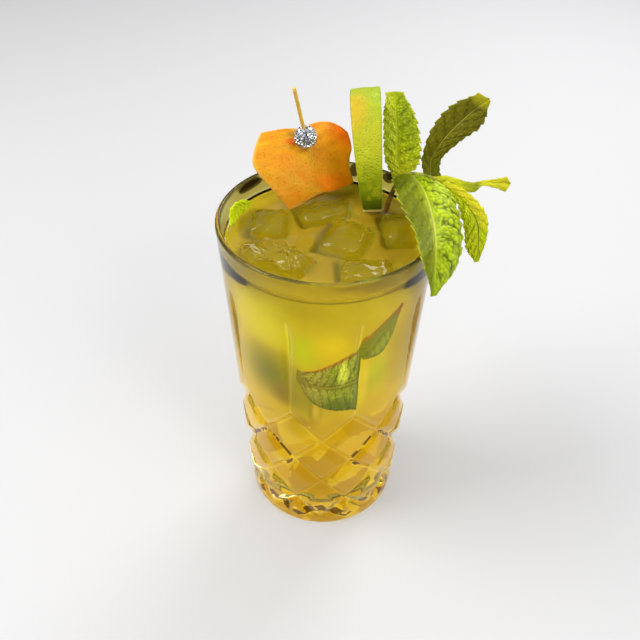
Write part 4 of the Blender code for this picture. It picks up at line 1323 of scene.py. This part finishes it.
# Two leaves hang in the drink against the front of the wall, seen only through the glass. One
# has a browned edge and a brown tip, and the other is crushed flat, crisp where it is lit, with
# a painted highlight there. Both glow a little, as painted light.
SUNK_INSET = 0.0007
SUNK_LEAVES = {
    "browned": (
        ((-36.5, 131.0), (-45.5, 127.5), (-54.0, 123.0), (-60.5, 118.0), (-61.5, 112.0)),
        ((-36.3, 130.8), (-42.5, 125.0), (-49.5, 120.0), (-55.5, 114.5), (-60.0, 110.0)),
        ((-36.0, 130.5), (-38.5, 124.0), (-41.5, 115.5), (-47.5, 109.0), (-58.0, 108.5))),
    "crushed": (
        ((-98.0, 103.0), (-88.0, 104.8), (-78.0, 108.6), (-69.0, 112.6), (-61.0, 115.6)),
        ((-98.5, 101.0), (-88.0, 96.0), (-78.0, 95.0), (-69.0, 96.0), (-60.0, 98.0)),
        ((-98.5, 99.0), (-91.0, 87.0), (-82.0, 82.0), (-71.0, 80.0), (-59.8, 79.5))),
}
SUNK_FINISH = {
    "browned": {"bright": rgb(166, 176, 36), "dark": rgb(112, 128, 20),
        "pucker": (0.25, 0.25), "patches": (
        ((0.50, 0.02), (0.90, 0.22), rgb(176, 96, 24), 1.0),
        ((0.02, 0.45), (0.13, 0.60), rgb(214, 136, 30), 0.95))},
    "crushed": {"bright": rgb(166, 178, 44), "dark": rgb(70, 82, 10),
        "pucker": (1.0, 0.7), "patches": (
        # The pale yellow spot is a painted highlight.
        ((0.28, 0.70), (0.26, 0.10), rgb(246, 255, 116), 1.0),
        ((0.92, 0.70), (0.24, 0.50), rgb(112, 130, 14), 1.0),
        ((0.45, 0.97), (0.60, 0.09), rgb(98, 114, 16), 1.0),
        ((0.50, 0.14), (0.90, 0.42), rgb(178, 170, 80), 1.0),
        ((0.01, 0.50), (0.05, 0.70), rgb(206, 112, 20), 1.0))},
}
SUNK_GLOW = 0.35
SUNK_SEED = 20
for seed, (name, rails) in enumerate(SUNK_LEAVES.items()):
    rails = [[on_wall(turn, height, SUNK_INSET) for turn, height in rail] for rail in rails]
    look = SUNK_FINISH[name]
    piece = leaf("mint_leaf_" + name, rails, leaf_finish("mint_" + name, look, SUNK_GLOW),
                 seed + SUNK_SEED, look["pucker"], tooth_depth=0.03)
    piece.visible_shadow = False
    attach(piece, "root")

# The glass stands on a plain pale floor under one large soft light from the upper left, a
# weaker one from the right and an even pale sky. The camera looks down at the photo's angle.
FLOOR_HALF = 4.0
LIGHT_AIM = Vector((0.0, 0.0, 0.09))
CAMERA_PLACE = Vector((0.03581, -0.25762, 0.32298))
CAMERA_TURN = (0.14596, 0.85681, 0.01529)
CAMERA_LENS = 45.97
CAMERA_SENSOR = 36.0
CAMERA_NEAR = 0.01
LIGHTS = (
    ("key", (-0.55, -0.10, 0.75), 0.50, 7.2, (1.0, 0.99, 0.97)),
    ("fill", (0.60, -0.45, 0.55), 0.60, 3.4, (1.0, 0.98, 0.94)),
    ("back", (0.25, 0.70, 0.60), 0.40, 4.2, (1.0, 1.0, 1.0)),
    ("spark", (0.42, -0.40, 0.74), 0.10, 0.8, (1.0, 1.0, 1.0)),
)
SKY_BAND = (0.15, 0.55)
SKY_HIGH = (0.78, 0.79, 0.81, 1.0)
SKY_LOW = (0.24, 0.19, 0.09, 1.0)
BACKDROP = (0.80, 0.80, 0.82, 1.0)

mesh = bpy.data.meshes.new("floor")
mesh.from_pydata([(-FLOOR_HALF, -FLOOR_HALF, 0.0), (FLOOR_HALF, -FLOOR_HALF, 0.0),
                  (FLOOR_HALF, FLOOR_HALF, 0.0), (-FLOOR_HALF, FLOOR_HALF, 0.0)],
                 [], [(0, 1, 2, 3)])
floor_finish, plug, feed = finish("floor", Roughness=0.6, Base_Color=(0.47, 0.47, 0.48, 1.0))
floor = new_piece("floor", mesh, floor_finish)
for name, place, size, power, colour in LIGHTS:
    lamp = bpy.data.lights.new(name, "AREA")
    lamp.size = size
    lamp.energy = power
    lamp.color = colour
    light = bpy.data.objects.new(name, lamp)
    light.location = place
    aim = LIGHT_AIM - Vector(place)
    light.rotation_euler = aim.to_track_quat("-Z", "Y").to_euler()
    bpy.context.scene.collection.objects.link(light)
world = bpy.data.worlds.new("studio")
world.use_nodes = True
plug = Plug(world.node_tree)
toward = plug.node("ShaderNodeTexCoord", output="Generated").parts()[2]
seen = plug.node("ShaderNodeLightPath", output="Is Camera Ray")
colour = seen.mix(toward.rise(*SKY_BAND).mix(SKY_LOW, SKY_HIGH), BACKDROP)
world.node_tree.links.new(colour.socket, world.node_tree.nodes["Background"].inputs["Color"])
bpy.context.scene.world = world
bpy.context.scene.view_settings.view_transform = "Standard"
for kind, bounces in (("max", 40), ("glossy", 30), ("transmission", 40)):
    setattr(bpy.context.scene.cycles, kind + "_bounces", bounces)

camera = bpy.data.objects.new("camera", bpy.data.cameras.new("camera"))
camera.data.lens = CAMERA_LENS
camera.data.sensor_width = CAMERA_SENSOR
camera.data.clip_start = CAMERA_NEAR
camera.matrix_world = (Matrix.Translation(CAMERA_PLACE) @ Matrix.Rotation(CAMERA_TURN[0], 4, "Z")
                       @ Matrix.Rotation(CAMERA_TURN[1], 4, "X")
                       @ Matrix.Rotation(CAMERA_TURN[2], 4, "Z"))
bpy.context.scene.collection.objects.link(camera)
bpy.context.scene.camera = camera

bpy.context.view_layer.update()
